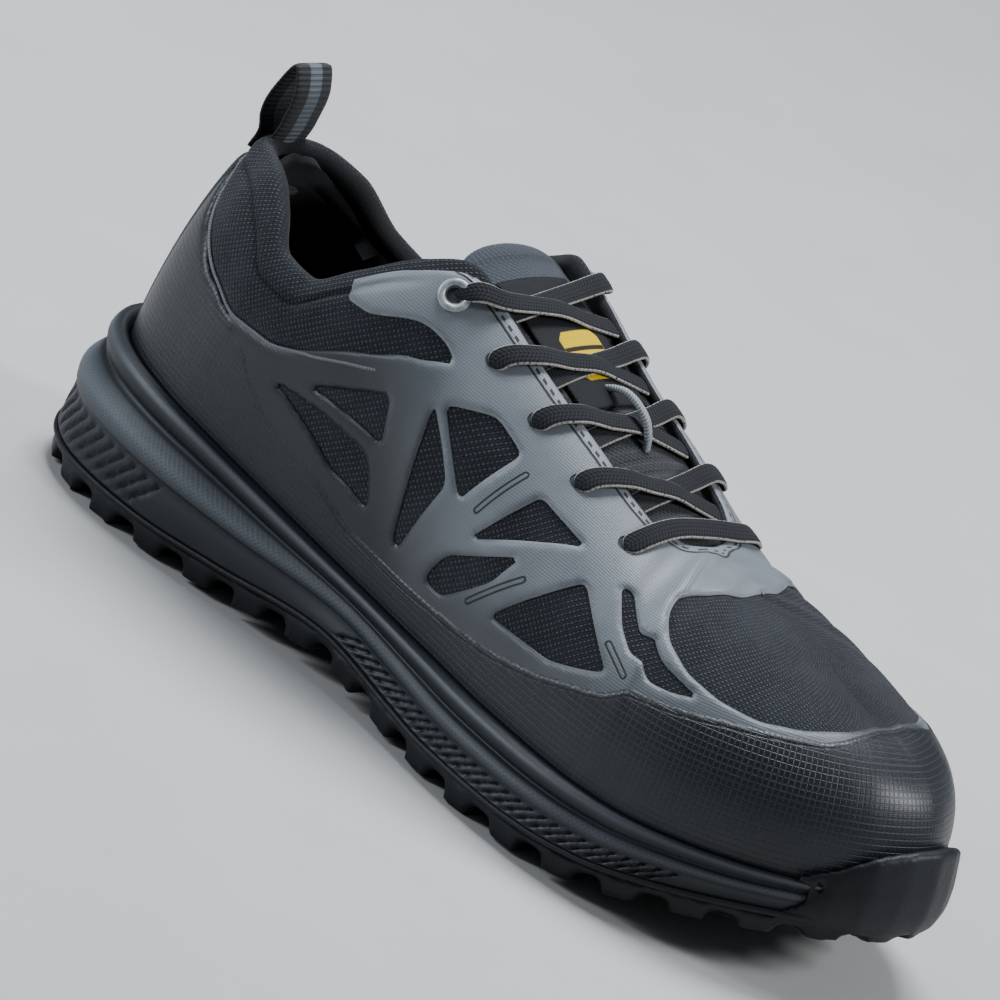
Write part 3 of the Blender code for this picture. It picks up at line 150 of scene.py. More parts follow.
def closed_curve(points, pieces=24):
    """A smooth closed curve through the points, each stretch cut into that many pieces."""
    ahead = np.roll(points, -1, 0)
    behind = np.roll(points, 1, 0)
    chord = np.linalg.norm(ahead - points, axis=1)
    tangent = (ahead - behind) / (chord + np.roll(chord, 1))[:, None]
    u = np.linspace(0, 1, pieces, endpoint=False)[None, :, None]
    h = chord[:, None, None]
    curve = (
        points[:, None] * (1 + 2 * u) * (1 - u) ** 2
        + ahead[:, None] * u * u * (3 - 2 * u)
        + h * tangent[:, None] * u * (1 - u) ** 2
        - h * np.roll(tangent, -1, 0)[:, None] * u * u * (1 - u)
    )
    return curve.reshape(-1, points.shape[1])


def plan(sign, shares, pieces=24):
    """The sole's outline on one side (-1 lateral, 1 medial): points and outward normals at those shares."""
    rows = SOLE_PLAN.rows
    lateral = np.stack([rows[:, 0] * SOLE_LENGTH, -rows[:, 1] * BALL_WIDTH], 1)
    medial = np.stack([rows[:, 0] * SOLE_LENGTH, rows[:, 2] * BALL_WIDTH], 1)
    heel = np.array([[0.0, HEEL_SWING * BALL_WIDTH]])
    toe = np.array([[SOLE_LENGTH, TOE_SWING * BALL_WIDTH]])
    curve = closed_curve(np.concatenate([heel, lateral, toe, medial[::-1]]), pieces)
    at_toe = (len(rows) + 1) * pieces
    side = curve[: at_toe + 1] if sign < 0 else np.concatenate([curve[at_toe:], curve[:1]])[::-1]
    length = np.concatenate([[0], np.cumsum(np.linalg.norm(np.diff(side, axis=0), axis=1))])
    at = np.asarray(shares) * length[-1]
    points = np.stack([np.interp(at, length, side[:, k]) for k in (0, 1)], 1)
    way = np.gradient(side, length, axis=0)
    way = unit(np.stack([np.interp(at, length, way[:, k]) for k in (0, 1)], 1))
    normal = np.stack([-sign * way[:, 1], sign * way[:, 0]], 1)
    normal[shares == 0] = (-1, 0)
    normal[shares == 1] = (1, 0)
    return points - [SOLE_LENGTH / 2, 0], normal


# Heights along the sole: shares of TOE_SPRING and ARCH_RISE, of the way from BALL_STACK to HEEL_STACK, and of
# LUG_DEPTH
SOLE_SIDE = Table(
    "along spring arch stack tread",
    [
        [0.00, 0.10, 0.0, 1.00, 1.0],
        [0.04, 0.02, 0.0, 0.98, 1.0],
        [0.07, 0.00, 0.0, 0.95, 1.0],
        [0.18, 0.00, 0.0, 0.72, 1.0],
        [0.28, 0.00, 0.3, 0.45, 1.0],
        [0.41, 0.00, 1.0, 0.17, 1.0],
        [0.52, 0.00, 0.2, 0.03, 1.0],
        [0.57, 0.00, 0.0, 0.01, 1.0],
        [0.67, 0.00, 0.0, -0.02, 1.0],
        [0.71, 0.02, 0.0, -0.05, 1.0],
        [0.77, 0.12, 0.0, -0.16, 0.9],
        [0.84, 0.36, 0.0, -0.35, 0.75],
        [0.92, 0.68, 0.0, -0.56, 0.6],
        [1.00, 1.00, 0.0, -0.69, 0.5],
    ],
)


def along_of(x):
    """Share of the sole's length at an x."""
    return x / SOLE_LENGTH + 0.5


def floor_line(along):
    """Height of the lugs' faces above the floor."""
    return TOE_SPRING * SOLE_SIDE("spring", along) + ARCH_RISE * SOLE_SIDE("arch", along)


def tread_top(along):
    """Height of the outsole's underside between its lugs."""
    return floor_line(along) + LUG_DEPTH * SOLE_SIDE("tread", along)


def parting_line(along):
    """Height at which the midsole meets the outsole."""
    return tread_top(along) + OUTSOLE_BASE


def sole_top(along):
    """Height of the bead at the midsole's top edge."""
    level = BALL_STACK + (HEEL_STACK - BALL_STACK) * SOLE_SIDE("stack", along)
    return TOE_SPRING * SOLE_SIDE("spring", along) + level


def middle_line(along):
    """The shoe's middle line: y swings from the heel's middle to the toe's."""
    swing = np.clip((along - 0.45) / 0.55, 0, 1) ** 2 * (TOE_SWING - HEEL_SWING)
    return BALL_WIDTH * (HEEL_SWING + swing)


# The columns of the upper, heel to toe. around: share of the side. along: where the column ends, share of
# SOLE_LENGTH. gap: half the opening there, share of THROAT_HALF_GAP. rise: share of INSTEP_RISE above the
# sole's top. lean: degrees outward at the foot. foot, crown: how long the curve keeps its lower and upper
# direction, shares of its span. drop: degrees that it leans over at the top. inset: share of UPPER_INSET.
RIBS = Table(
    "around along gap rise_lateral rise_medial lean foot crown drop inset",
    [
        [0.000, 0.075, 0.00, 0.733, 0.733, 2, 0.26, 0.24, 58, 1.20],
        [0.060, 0.088, 0.55, 0.740, 0.730, 2, 0.26, 0.24, 58, 1.16],
        [0.115, 0.128, 1.05, 0.740, 0.690, 4, 0.30, 0.28, 62, 1.08],
        [0.165, 0.168, 1.42, 0.690, 0.585, 4, 0.35, 0.30, 68, 1.00],
        [0.215, 0.205, 1.66, 0.612, 0.550, 4, 0.35, 0.30, 70, 0.95],
        [0.255, 0.238, 1.70, 0.620, 0.580, 5, 0.35, 0.30, 68, 0.95],
        [0.300, 0.282, 1.62, 0.750, 0.740, 6, 0.36, 0.32, 62, 0.95],
        [0.350, 0.332, 1.43, 0.905, 0.900, 8, 0.38, 0.34, 54, 0.95],
        [0.390, 0.372, 1.16, 0.975, 0.980, 8, 0.42, 0.36, 46, 0.95],
        [0.430, 0.412, 1.00, 0.925, 0.950, 8, 0.45, 0.36, 40, 0.95],
        [0.500, 0.482, 0.95, 0.838, 0.850, 8, 0.48, 0.36, 34, 0.93],
        [0.570, 0.556, 0.90, 0.750, 0.755, 8, 0.48, 0.36, 30, 0.90],
        [0.635, 0.618, 0.80, 0.662, 0.665, 8, 0.50, 0.36, 26, 0.88],
        [0.680, 0.652, 0.48, 0.622, 0.622, 8, 0.52, 0.38, 14, 0.85],
        [0.700, 0.664, 0.00, 0.617, 0.617, 8, 0.54, 0.40, 0, 0.84],
        [0.780, 0.715, 0.00, 0.592, 0.592, 8, 0.56, 0.42, 0, 0.82],
        [0.860, 0.765, 0.00, 0.556, 0.556, 6, 0.58, 0.44, 0, 0.82],
        [0.930, 0.812, 0.00, 0.510, 0.510, 4, 0.60, 0.46, 0, 0.84],
        [1.000, 0.855, 0.00, 0.462, 0.462, 2, 0.60, 0.50, 0, 0.88],
    ],
)


# How much of COLLAR_PULL counts along the side
PULL_SPAN = ((0.0, 0.38, 0.52, 1.0), (1.0, 1.0, 0.0, 0.0))


def topline(sign, shares):
    """Where one side's columns end: the collar's edge, the throat's edge, then the ridge over the toes."""
    along = RIBS("along", shares)
    rise = INSTEP_RISE * RIBS("rise_lateral" if sign < 0 else "rise_medial", shares)
    y = middle_line(along) + sign * THROAT_HALF_GAP * RIBS("gap", shares)
    return stack((along - 0.5) * SOLE_LENGTH, y, sole_top(along) + rise)


def ribs(sign, shares, rows):
    """One side of the skin: each column is a cubic curve from the feather line up to the topline."""
    points, normal = plan(sign, shares)
    foot_xy = points - normal * (UPPER_INSET * RIBS("inset", shares))[:, None]
    foot = stack(foot_xy[:, 0], foot_xy[:, 1], sole_top(along_of(foot_xy[:, 0])) - FEATHER_DEPTH)
    top = topline(sign, shares)
    pull = COLLAR_PULL * smooth(*PULL_SPAN, shares)
    inward = unit(top[:, :2] - foot[:, :2] - normal * pull[:, None])
    span = np.linalg.norm(top - foot, axis=1)
    ridge = top[shares >= THROAT_END]
    slope = np.zeros(len(shares))
    slope[shares >= THROAT_END] = np.gradient(ridge[:, 2], ridge[:, 0])
    lean = np.radians(RIBS("lean", shares))[:, None]
    drop = np.radians(RIBS("drop", shares))[:, None]
    up = np.array([0, 0, 1.0])
    flat = stack(inward[:, 0], inward[:, 1], 0)
    over = unit(stack(inward[:, 0], inward[:, 1], slope * inward[:, 0]))
    foot_way = np.cos(lean) * up - np.sin(lean) * flat
    top_way = np.cos(drop) * over + np.sin(drop) * up
    lower = foot + foot_way * (span * RIBS("foot", shares))[:, None]
    upper = top - top_way * (span * RIBS("crown", shares))[:, None]
    u = rows[None, :, None]
    return (
        foot[:, None] * (1 - u) ** 3
        + 3 * lower[:, None] * u * (1 - u) ** 2
        + 3 * upper[:, None] * u * u * (1 - u)
        + top[:, None] * u**3
    )


# The midsole's side, bottom to top: share of its height and distance out from the sole's outline, in mm,
# at the heel, the arch, the ball and the toe
MIDSOLE_LINES = {
    "edge": [0.00, -1.0, 0.00, -2.6, 0.00, -0.8, 0.00, -3.2],
    "rib_foot": [0.06, 0.0, 0.08, -2.6, 0.08, 0.0, 0.08, -3.0],
    "rib_head": [0.42, -0.7, 0.36, -4.0, 0.40, -0.8, 0.40, -3.2],
    "band_foot": [0.46, 0.0, 0.42, -3.8, 0.45, -0.6, 0.45, -3.2],
    "band_crest": [0.58, 0.0, 0.52, -3.4, 0.54, -0.9, 0.54, -3.2],
    "band_head": [0.72, -3.2, 0.64, -4.4, 0.62, -2.0, 0.62, -3.5],
    "groove": [0.77, -4.8, 0.69, -5.2, 0.67, -3.4, 0.67, -4.0],
    "bead_foot": [0.82, -3.9, 0.76, -4.0, 0.75, -2.2, 0.75, -3.5],
    "bead_crest": [0.91, -3.2, 0.87, -3.2, 0.87, -1.5, 0.87, -3.0],
    "bead_head": [0.98, -4.3, 0.96, -3.8, 0.96, -2.2, 0.96, -3.2],
    "bead_top": [1.00, -6.2, 1.00, -4.9, 1.00, -3.6, 1.00, -3.7],
}
STATIONS = (0.0, 0.20, 0.42, 0.66, 0.90, 1.0)


def station(values, along):
    """A value given at the heel, arch, ball and toe, read anywhere along the sole."""
    heel, arch, ball, toe = values
    return smooth(STATIONS, (heel, heel, arch, ball, toe, toe), along)


GUARD_EDGE = Table(
    "around row",
    [
        [0.000, 0.64],
        [0.110, 0.63],
        [0.150, 0.57],
        [0.192, 0.54],
        [0.235, 0.55],
        [0.262, 0.44],
        [0.300, 0.30],
        [0.349, 0.22],
        [0.400, 0.14],
        [0.450, 0.135],
        [0.503, 0.146],
        [0.551, 0.173],
        [0.603, 0.22],
        [0.650, 0.28],
        [0.690, 0.315],
        [0.740, 0.345],
        [0.790, 0.392],
        [0.832, 0.434],
        [0.875, 0.490],
        [0.915, 0.605],
        [0.955, 0.735],
        [1.000, 0.845],
    ],
)


# The cage's windows: share of the side and row of each corner
WINDOWS = {
    "collar": [(0.225, 0.60), (0.267, 0.64), (0.294, 0.628), (0.317, 0.638), (0.368, 0.647), (0.400, 0.678),
               (0.427, 0.755), (0.414, 0.776), (0.379, 0.779), (0.340, 0.782), (0.315, 0.850), (0.289, 1.0),
               (0.225, 1.0)],
    "heel_long": [(0.280, 0.473), (0.338, 0.407), (0.390, 0.333), (0.403, 0.205), (0.359, 0.255),
                  (0.314, 0.376)],
    "heel_top": [(0.315, 0.492), (0.390, 0.536), (0.397, 0.385)],
    "middle_back": [(0.427, 0.614), (0.447, 0.528), (0.462, 0.440), (0.441, 0.186), (0.433, 0.200),
                    (0.430, 0.399)],
    "middle_front": [(0.436, 0.638), (0.478, 0.745), (0.508, 0.718), (0.476, 0.433)],
    "instep": [(0.495, 0.364), (0.542, 0.674), (0.603, 0.683)],
    "low": [(0.472, 0.177), (0.483, 0.274), (0.550, 0.462), (0.533, 0.325), (0.501, 0.203), (0.491, 0.169)],
    "forefoot": [(0.546, 0.249), (0.618, 0.585), (0.671, 0.361), (0.617, 0.280)],
    "vamp_side": [(0.649, 0.674), (0.662, 0.682), (0.672, 0.610), (0.685, 0.522), (0.712, 0.440),
                  (0.757, 0.402), (0.732, 0.372), (0.708, 0.362), (0.688, 0.430), (0.665, 0.544)],
}
# The vamp's opening: the same, from the ridge behind it round one side to the toe
VAMP_WINDOW = [(0.795, 1.0), (0.768, 0.905), (0.735, 0.810), (0.710, 0.735), (0.696, 0.670), (0.696, 0.590),
               (0.710, 0.515), (0.738, 0.455), (0.775, 0.432), (0.813, 0.437), (0.855, 0.490), (0.906, 0.604),
               (0.955, 0.755), (1.0, 0.86)]


def open_curve(points, count):
    """A smooth curve through the points in order, cut into evenly spaced pieces."""
    points = np.asarray(points, float)
    chord = np.linalg.norm(np.diff(points, axis=0), axis=1)
    at = np.concatenate([[0], np.cumsum(chord)])
    tangent = np.gradient(points, at, axis=0)
    fine = np.linspace(0, at[-1], 300)
    i = np.clip(np.searchsorted(at, fine, side="right") - 1, 0, len(chord) - 1)
    h = chord[i][:, None]
    u = ((fine - at[i]) / chord[i])[:, None]
    dense = (
        points[i] * (1 + 2 * u) * (1 - u) ** 2
        + points[i + 1] * u * u * (3 - 2 * u)
        + h * tangent[i] * u * (1 - u) ** 2
        - h * tangent[i + 1] * u * u * (1 - u)
    )
    length = np.concatenate([[0], np.cumsum(np.linalg.norm(np.diff(dense, axis=0), axis=1))])
    even = np.linspace(0, length[-1], count)
    return np.stack([np.interp(even, length, dense[:, k]) for k in range(3)], 1)


def ease(low, high, x):
    """0 below low, 1 above high, and a smooth rise between."""
    t = np.clip((x - low) / (high - low), 0, 1)
    return t * t * (3 - 2 * t)


def bell(distance, width):
    """1 at distance 0, fading to 0 over about twice the width."""
    return np.exp(-((distance / width) ** 2))


def to_line(points, line):
    """Distance from each point to a chain of straight stretches: the least over its stretches."""
    flat = points.reshape(-1, 3)
    best = np.full(len(flat), 1.0)
    for start, end in zip(line[:-1], line[1:]):
        way = end - start
        share = np.clip((flat - start) @ way / max(way @ way, 1e-12), 0, 1)
        best = np.minimum(best, np.linalg.norm(flat - start - share[:, None] * way, axis=1))
    return best.reshape(points.shape[:-1])


def within(share, row, corners):
    """Which places lie inside a closed outline, by counting the edges that a ray along the share crosses."""
    inside = np.zeros(share.shape, bool)
    ahead = np.roll(corners, -1, 0)
    for (x0, y0), (x1, y1) in zip(corners, ahead):
        if y0 == y1:
            continue
        crosses = (row > min(y0, y1)) & (row <= max(y0, y1))
        inside ^= crosses & (share < x0 + (row - y0) * (x1 - x0) / (y1 - y0))
    return inside


# Rough lengths of one unit of share and of row, for rounding corners evenly
SIDE_RUN = 330 * MM
ROW_RUN = 75 * MM


def rounded(corners, radius=2.4 * MM, closed=True):
    """An outline with its corners cut back by the radius and joined by parabolas, sampled every few mm."""
    scale = np.array([SIDE_RUN, ROW_RUN])
    points = np.array(corners, float) * scale
    chain = []
    count = len(points)
    for k in range(count):
        here = points[k]
        if not closed and k in (0, count - 1):
            chain.append(here)
            continue
        back, on = points[k - 1] - here, points[(k + 1) % count] - here
        cut = [min(radius, 0.4 * np.linalg.norm(way)) / np.linalg.norm(way) for way in (back, on)]
        first, last = here + back * cut[0], here + on * cut[1]
        for t in np.linspace(0, 1, 5):
            chain.append(first * (1 - t) ** 2 + 2 * here * t * (1 - t) + last * t * t)
    if closed:
        chain.append(chain[0])
    chain = np.array(chain)
    length = np.concatenate([[0], np.cumsum(np.linalg.norm(np.diff(chain, axis=0), axis=1))])
    at = np.unique(np.concatenate([length, np.linspace(0, length[-1], int(length[-1] / (4 * MM)) + 2)]))
    return np.stack([np.interp(at, length, chain[:, k]) for k in (0, 1)], 1) / scale


# The seam under the padded collar, from the heel's top to its end on the film: share and row
PANEL_LINE = ((0.0, 0.93), (0.062, 0.90), (0.078, 0.79), (0.096, 0.675), (0.126, 0.608), (0.157, 0.580),
              (0.192, 0.592), (0.225, 0.618), (0.262, 0.636), (0.300, 0.612), (0.335, 0.598), (0.368, 0.596))


def panel_row(share):
    """Row of the seam under the padded collar; in front of the seam it runs level under the film."""
    line = np.array(PANEL_LINE + ((0.417, 0.66), (1.0, 0.70)))
    return smooth(line[:, 0], line[:, 1], share)


# Depths of the padding's swell, of its seam and of the binding's groove, and that groove's way from the edge
COLLAR_SWELL = 1.3 * MM
SEAM_DEPTH = 0.8 * MM
BINDING_DEPTH = 0.6 * MM
BINDING_WIDTH = 8 * MM
# The waves where the foot bends: height, and share of the side from one to the next
WAVE_HEIGHT = 0.30 * MM
WAVE_STEP = 0.041
SLACK_HEIGHT = 0.35 * MM


def soft_form(share, row, height):
    """How far the padding and the flexing move the skin outward, in metres.

    The collar swells between its seam and its binding, the seam is a trough, and a few low waves cross the
    foot where the shoe bends.
    """
    seam = panel_row(share)
    collar = 1 - ease(0.30, 0.42, share)
    q = np.clip((row - seam) / np.maximum(1 - seam, 0.02), 0, 1)
    swell = COLLAR_SWELL * 4 * q * (1 - q) * collar
    to_seam = (row - seam) * height
    trough = -SEAM_DEPTH * bell(to_seam, 1.8 * MM) * (1 - ease(0.27, 0.33, share)) * ease(0.05, 0.09, share)
    to_binding = (1 - row) * height - BINDING_WIDTH
    binding = -BINDING_DEPTH * bell(to_binding, 1.3 * MM) * (1 - ease(0.33, 0.38, share))
    bend = ease(0.62, 0.66, share) * (1 - ease(0.78, 0.84, share)) * ease(0.45, 0.7, row)
    waves = WAVE_HEIGHT * np.sin((share - 0.04 * row) * 2 * np.pi / WAVE_STEP) * bend
    side = ease(0.40, 0.46, share) * (1 - ease(0.60, 0.68, share)) * np.sin(np.pi * np.clip(row, 0, 1)) ** 2
    slack = SLACK_HEIGHT * np.sin(2 * np.pi * (share * 9 + row * 1.3)) * side
    return swell + trough + binding + waves + slack


class Skin:
    """The upper's outer surface on a fine grid.

    Columns count round the shoe from the heel along the lateral side to the toe and back along the medial
    side; rows count up from the sole. Each column is the part's own cubic curve, moved by soft_form.
    """

    def __init__(self, columns=280, rows=80):
        self.columns = columns
        self.top = rows
        self.shares = np.linspace(0, 1, columns + 1)
        self.rows = np.linspace(0, 1, rows + 1)
        grid = np.concatenate([ribs(-1, self.shares, self.rows), ribs(1, self.shares, self.rows)[-2:0:-1]])
        self.share = np.concatenate([self.shares, self.shares[-2:0:-1]])
        self.around = len(self.share)
        self.sign = np.where(np.arange(self.around) <= columns, -1, 1)
        climb = np.linalg.norm(np.diff(grid, axis=1), axis=2).cumsum(1)
        self.climb = np.concatenate([np.zeros((self.around, 1)), climb], 1)
        form = soft_form(self.share[:, None], self.rows[None, :], self.climb[:, -1:])
        self.points = grid + self.normals(grid) * form[..., None]
        self.normal = self.normals(self.points)
        self.row = np.broadcast_to(self.rows, self.points.shape[:2])
        self.along = np.broadcast_to(self.share[:, None], self.points.shape[:2])
        self.cloth = np.stack([self.along * SIDE_RUN, self.climb], -1)

    def normals(self, grid):
        """Cross product of the ways along the two axes, made one over the ridge where the sides meet."""
        across = np.roll(grid, -1, 0) - np.roll(grid, 1, 0)
        normal = unit(np.cross(across, np.gradient(grid, axis=1)))
        throat = int(round(THROAT_END * self.columns))
        ridge = np.arange(throat, self.around - throat + 1)
        normal[ridge, -1] = unit(normal[ridge, -1] + normal[ridge[::-1], -1])
        return normal

    def read(self, grid, column, row):
        """Any grid over the skin, read between its points: column and row are counted, not shares."""
        column = np.asarray(column, float) % self.around
        row = np.clip(row, 0, self.top)
        c = np.floor(column).astype(int)
        r = np.minimum(np.floor(row).astype(int), self.top - 1)
        fc, fr = column - c, row - r
        if grid.ndim == 3:
            fc, fr = fc[..., None], fr[..., None]
        nxt = (c + 1) % self.around
        c = c % self.around
        low = grid[c, r] * (1 - fc) + grid[nxt, r] * fc
        high = grid[c, r + 1] * (1 - fc) + grid[nxt, r + 1] * fc
        return low * (1 - fr) + high * fr

    def place(self, sign, share, row):
        """Column and row, counted, of a share and a row on one side."""
        column = np.asarray(share, float) * self.columns
        return (column if sign < 0 else self.around - column), np.asarray(row, float) * self.top

    def at(self, sign, share, row, out=0.0):
        """Points over the skin at a share of one side and a row from 0 to 1, out metres above it."""
        share, row, out = np.broadcast_arrays(share, row, out)
        column, row = self.place(sign, share, row)
        return self.read(self.points, column, row) + self.up(sign, share, row / self.top) * out[..., None]

    def up(self, sign, share, row):
        """The skin's outward direction at a share and a row."""
        column, row = self.place(sign, share, row)
        return unit(self.read(self.normal, column, row))

    def along_line(self, sign, line, out=0.0):
        """Points over the skin at each place of a line."""
        line = np.asarray(line, float)
        return self.at(sign, line[:, 0], line[:, 1], out)


def thickness(share, row):
    """The upper's wall: 2.2 mm of knit, and the padding that swells it at the collar."""
    pad = smooth((0.0, 0.30, 0.42, 0.50, 1.0), (1.0, 1.0, 0.45, 0.0, 0.0), share)
    height = smooth((0.0, 0.45, 0.80, 1.0), (0.0, 0.0, 1.0, 0.75), row)
    return WALL + COLLAR_PAD * pad * height


skin = Skin()


def grid_faces(numbers, loop=False):
    """The four-cornered faces of a grid of point numbers, closed round the first axis or not."""
    ahead = np.roll(numbers, -1, 0) if loop else numbers[1:]
    base = numbers if loop else numbers[:-1]
    return np.stack([base[:, :-1], ahead[:, :-1], ahead[:, 1:], base[:, 1:]], -1).reshape(-1, 4)


# Points that fall in the same cell of this size become one
WELD = 1e-6


def piece(name, points, faces, finish, slot, cloth=None, values=None, nodes=()):
    """Puts points and faces into a closed, smooth mesh that rides on the shoe.

    Points that coincide become one, so seams and poles close. cloth gives a flat place in metres for each
    point, and values name numbers that the finish reads.
    """
    points = np.asarray(points, float).reshape(-1, 3)
    faces = np.concatenate([np.asarray(f).reshape(-1, 4) for f in faces])
    cells = np.round(points / WELD).astype(np.int64)
    _, first, same = np.unique(cells, axis=0, return_index=True, return_inverse=True)
    faces = same.reshape(-1)[faces]
    polygons = []
    for face in faces.tolist():
        ring = [p for k, p in enumerate(face) if p != face[k - 1]]
        if len(ring) > 2 and len(set(ring)) == len(ring):
            polygons.append(ring)
    mesh = bpy.data.meshes.new(name)
    mesh.from_pydata(points[first].tolist(), [], polygons)
    made = bmesh.new()
    made.from_mesh(mesh)
    bmesh.ops.recalc_face_normals(made, faces=made.faces)
    made.to_mesh(mesh)
    made.free()
    if cloth is not None:
        corner = np.zeros(len(mesh.loops), int)
        mesh.loops.foreach_get("vertex_index", corner)
        flat = np.asarray(cloth, float).reshape(-1, 2)[first][corner]
        mesh.uv_layers.new(name="cloth").data.foreach_set("uv", flat.ravel())
    for key, value in (values or {}).items():
        layer = mesh.attributes.new(key, "FLOAT", "POINT")
        layer.data.foreach_set("value", np.ascontiguousarray(np.asarray(value, float).reshape(-1)[first]))
    mesh.shade_smooth()
    mesh.materials.append(finish)
    return settle(bpy.data.objects.new(name, mesh), slot, nodes)


def settle(made, slot, nodes=()):
    """Brings a piece into the scene on the shoe's body, standing for its CAD nodes."""
    bpy.context.scene.collection.objects.link(made)
    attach(made, "root")
    if nodes:
        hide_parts(*nodes)
    return made


def merged_copy(node, name, finish, slot, cell, rounds):
    """A copy of a CAD solid with its loose triangles joined, and its edges rounded as moulded rubber's are.

    The surface is laid out afresh in even cells, and each point then moves towards its neighbours, rounds
    times.
    """
    made = bmesh.new()
    made.from_mesh(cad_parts[node].data)
    bmesh.ops.remove_doubles(made, verts=made.verts, dist=2e-5)
    bmesh.ops.dissolve_limit(made, angle_limit=0.02, verts=made.verts, edges=made.edges)
    mesh = bpy.data.meshes.new(name)
    made.to_mesh(mesh)
    made.free()
    mesh.materials.clear()
    mesh.materials.append(finish)
    mesh.shade_smooth()
    obj = settle(bpy.data.objects.new(name, mesh), slot, (node,))
    cells = obj.modifiers.new("even_cells", "REMESH")
    cells.mode = "VOXEL"
    cells.voxel_size = cell
    cells.use_smooth_shade = True
    soft = obj.modifiers.new("rounded_edges", "SMOOTH")
    soft.factor = 0.5
    soft.iterations = rounds
    return obj


def carry(name, path, upward, section, finish, slot, nodes=(), parts=None, ends=None):
    """A closed section of (across, through) points carried along a path, its through side facing upward.

    Point = path + sideways * across + upward * through; the ends are drawn to their middle. ends gives for
    each path how wide it starts, over how long it widens, and whether its start and its end are round: a
    round end follows half a circle, sqrt(1 - (1 - length over radius)^2). The cloth place is (across, length
    along). parts gives several paths with their upward ways, for one piece.
    """
    points, faces, cloth, reach, count = [], [], [], [], 0
    for place, (path, upward) in enumerate(parts or [(path, upward)]):
        length = np.concatenate([[0], np.cumsum(np.linalg.norm(np.diff(path, axis=0), axis=1))])
        scale = np.ones(len(path))
        if ends:
            begin, over, first_round, last_round = ends[place]
            at = length[-1] * (1 - np.cos(np.linspace(0, np.pi, len(path)))) / 2
            path = np.stack([np.interp(at, length, path[:, k]) for k in range(3)], 1)
            upward = unit(np.stack([np.interp(at, length, upward[:, k]) for k in range(3)], 1))
            length = at
            scale = begin + (1 - begin) * ease(0, over, at)
            radius = section[:, 0].max()
            for is_round, from_end in ((first_round, at), (last_round, at[-1] - at)):
                if is_round:
                    scale = scale * np.sqrt(1 - (1 - np.clip(from_end / radius, 0, 1)) ** 2)
        way = unit(np.gradient(path, length, axis=0))
        sideways = unit(np.cross(upward, way))
        lift = np.cross(way, sideways)
        across = section[None, :, 0] * scale[:, None]
        through = section[None, :, 1] * np.sqrt(scale)[:, None]
        ring = path[:, None] + sideways[:, None] * across[..., None] + lift[:, None] * through[..., None]
        half = np.abs(section[:, 1]).max()
        caps = []
        for end, step in ((0, -1), (-1, 1)):
            for share in (0.55, 0.9, 1.0):
                shrink = np.sqrt(max(1 - share**2, 0.0))
                out = half * share * min(1.0, scale[end] * 4)
                caps.append(path[end] + way[end] * step * out + (ring[end] - path[end]) * shrink)
        rings = np.concatenate([np.array(caps[2::-1]), ring, np.array(caps[3:])])
        long = np.concatenate([np.full(3, length[0]), length, np.full(3, length[-1])])
        numbers = count + np.arange(rings.shape[0] * rings.shape[1]).reshape(rings.shape[:2])
        numbers = np.concatenate([numbers, numbers[:, :1]], 1)
        faces.append(grid_faces(numbers))
        points.append(rings.reshape(-1, 3))
        wide = np.broadcast_to(section[None, :, 0], rings.shape[:2])
        tall = np.broadcast_to(long[:, None], rings.shape[:2])
        cloth.append(np.stack([wide, tall], -1).reshape(-1, 2))
        reach.append((tall / length[-1]).reshape(-1))
        count += rings.shape[0] * rings.shape[1]
    return piece(name, np.concatenate(points), faces, finish, slot, np.concatenate(cloth),
                 {"reach": np.concatenate(reach)}, nodes)


def oval(width, thick, corners=24, square=0.55):
    """A flattened oval section: cosine drawn out towards the edges, sine for the thickness."""
    angle = np.linspace(0, 2 * np.pi, corners, endpoint=False)
    across = np.sign(np.cos(angle)) * np.abs(np.cos(angle)) ** square * width / 2
    through = np.sign(np.sin(angle)) * np.abs(np.sin(angle)) ** 0.8 * thick / 2
    return np.stack([across, through], 1)


class Field:
    """A value in a finish's nodes: arithmetic on it adds Math nodes."""

    def __init__(self, finish, socket):
        self.finish = finish
        self.socket = socket

    def math(self, operation, *others):
        values = dict(enumerate((self, *others)))
        return self.finish.node("ShaderNodeMath", {"operation": operation}, values)

    def __add__(self, other):
        return self.math("ADD", other)

    __radd__ = __add__

    def __mul__(self, other):
        return self.math("MULTIPLY", other)

    __rmul__ = __mul__

    def __sub__(self, other):
        return self.math("SUBTRACT", other)

    def __rsub__(self, other):
        return self * -1 + other

    def __truediv__(self, other):
        return self.math("DIVIDE", other)

    def sine(self):
        return self.math("SINE")

    def size(self):
        return self.math("ABSOLUTE")

    def part(self):
        """What is left over the whole number below."""
        return self.math("FRACT")

    def most(self, other):
        return self.math("MAXIMUM", other)

    def rise(self, low, high):
        """0 below low, 1 above high, smooth between; high below low turns it round."""
        turned = low > high
        limits = {1: min(low, high), 2: max(low, high)}
        return self.finish.node("ShaderNodeMapRange", {"interpolation_type": "SMOOTHSTEP"},
                                {0: self, **limits, 3: 1.0 if turned else 0.0, 4: 0.0 if turned else 1.0})


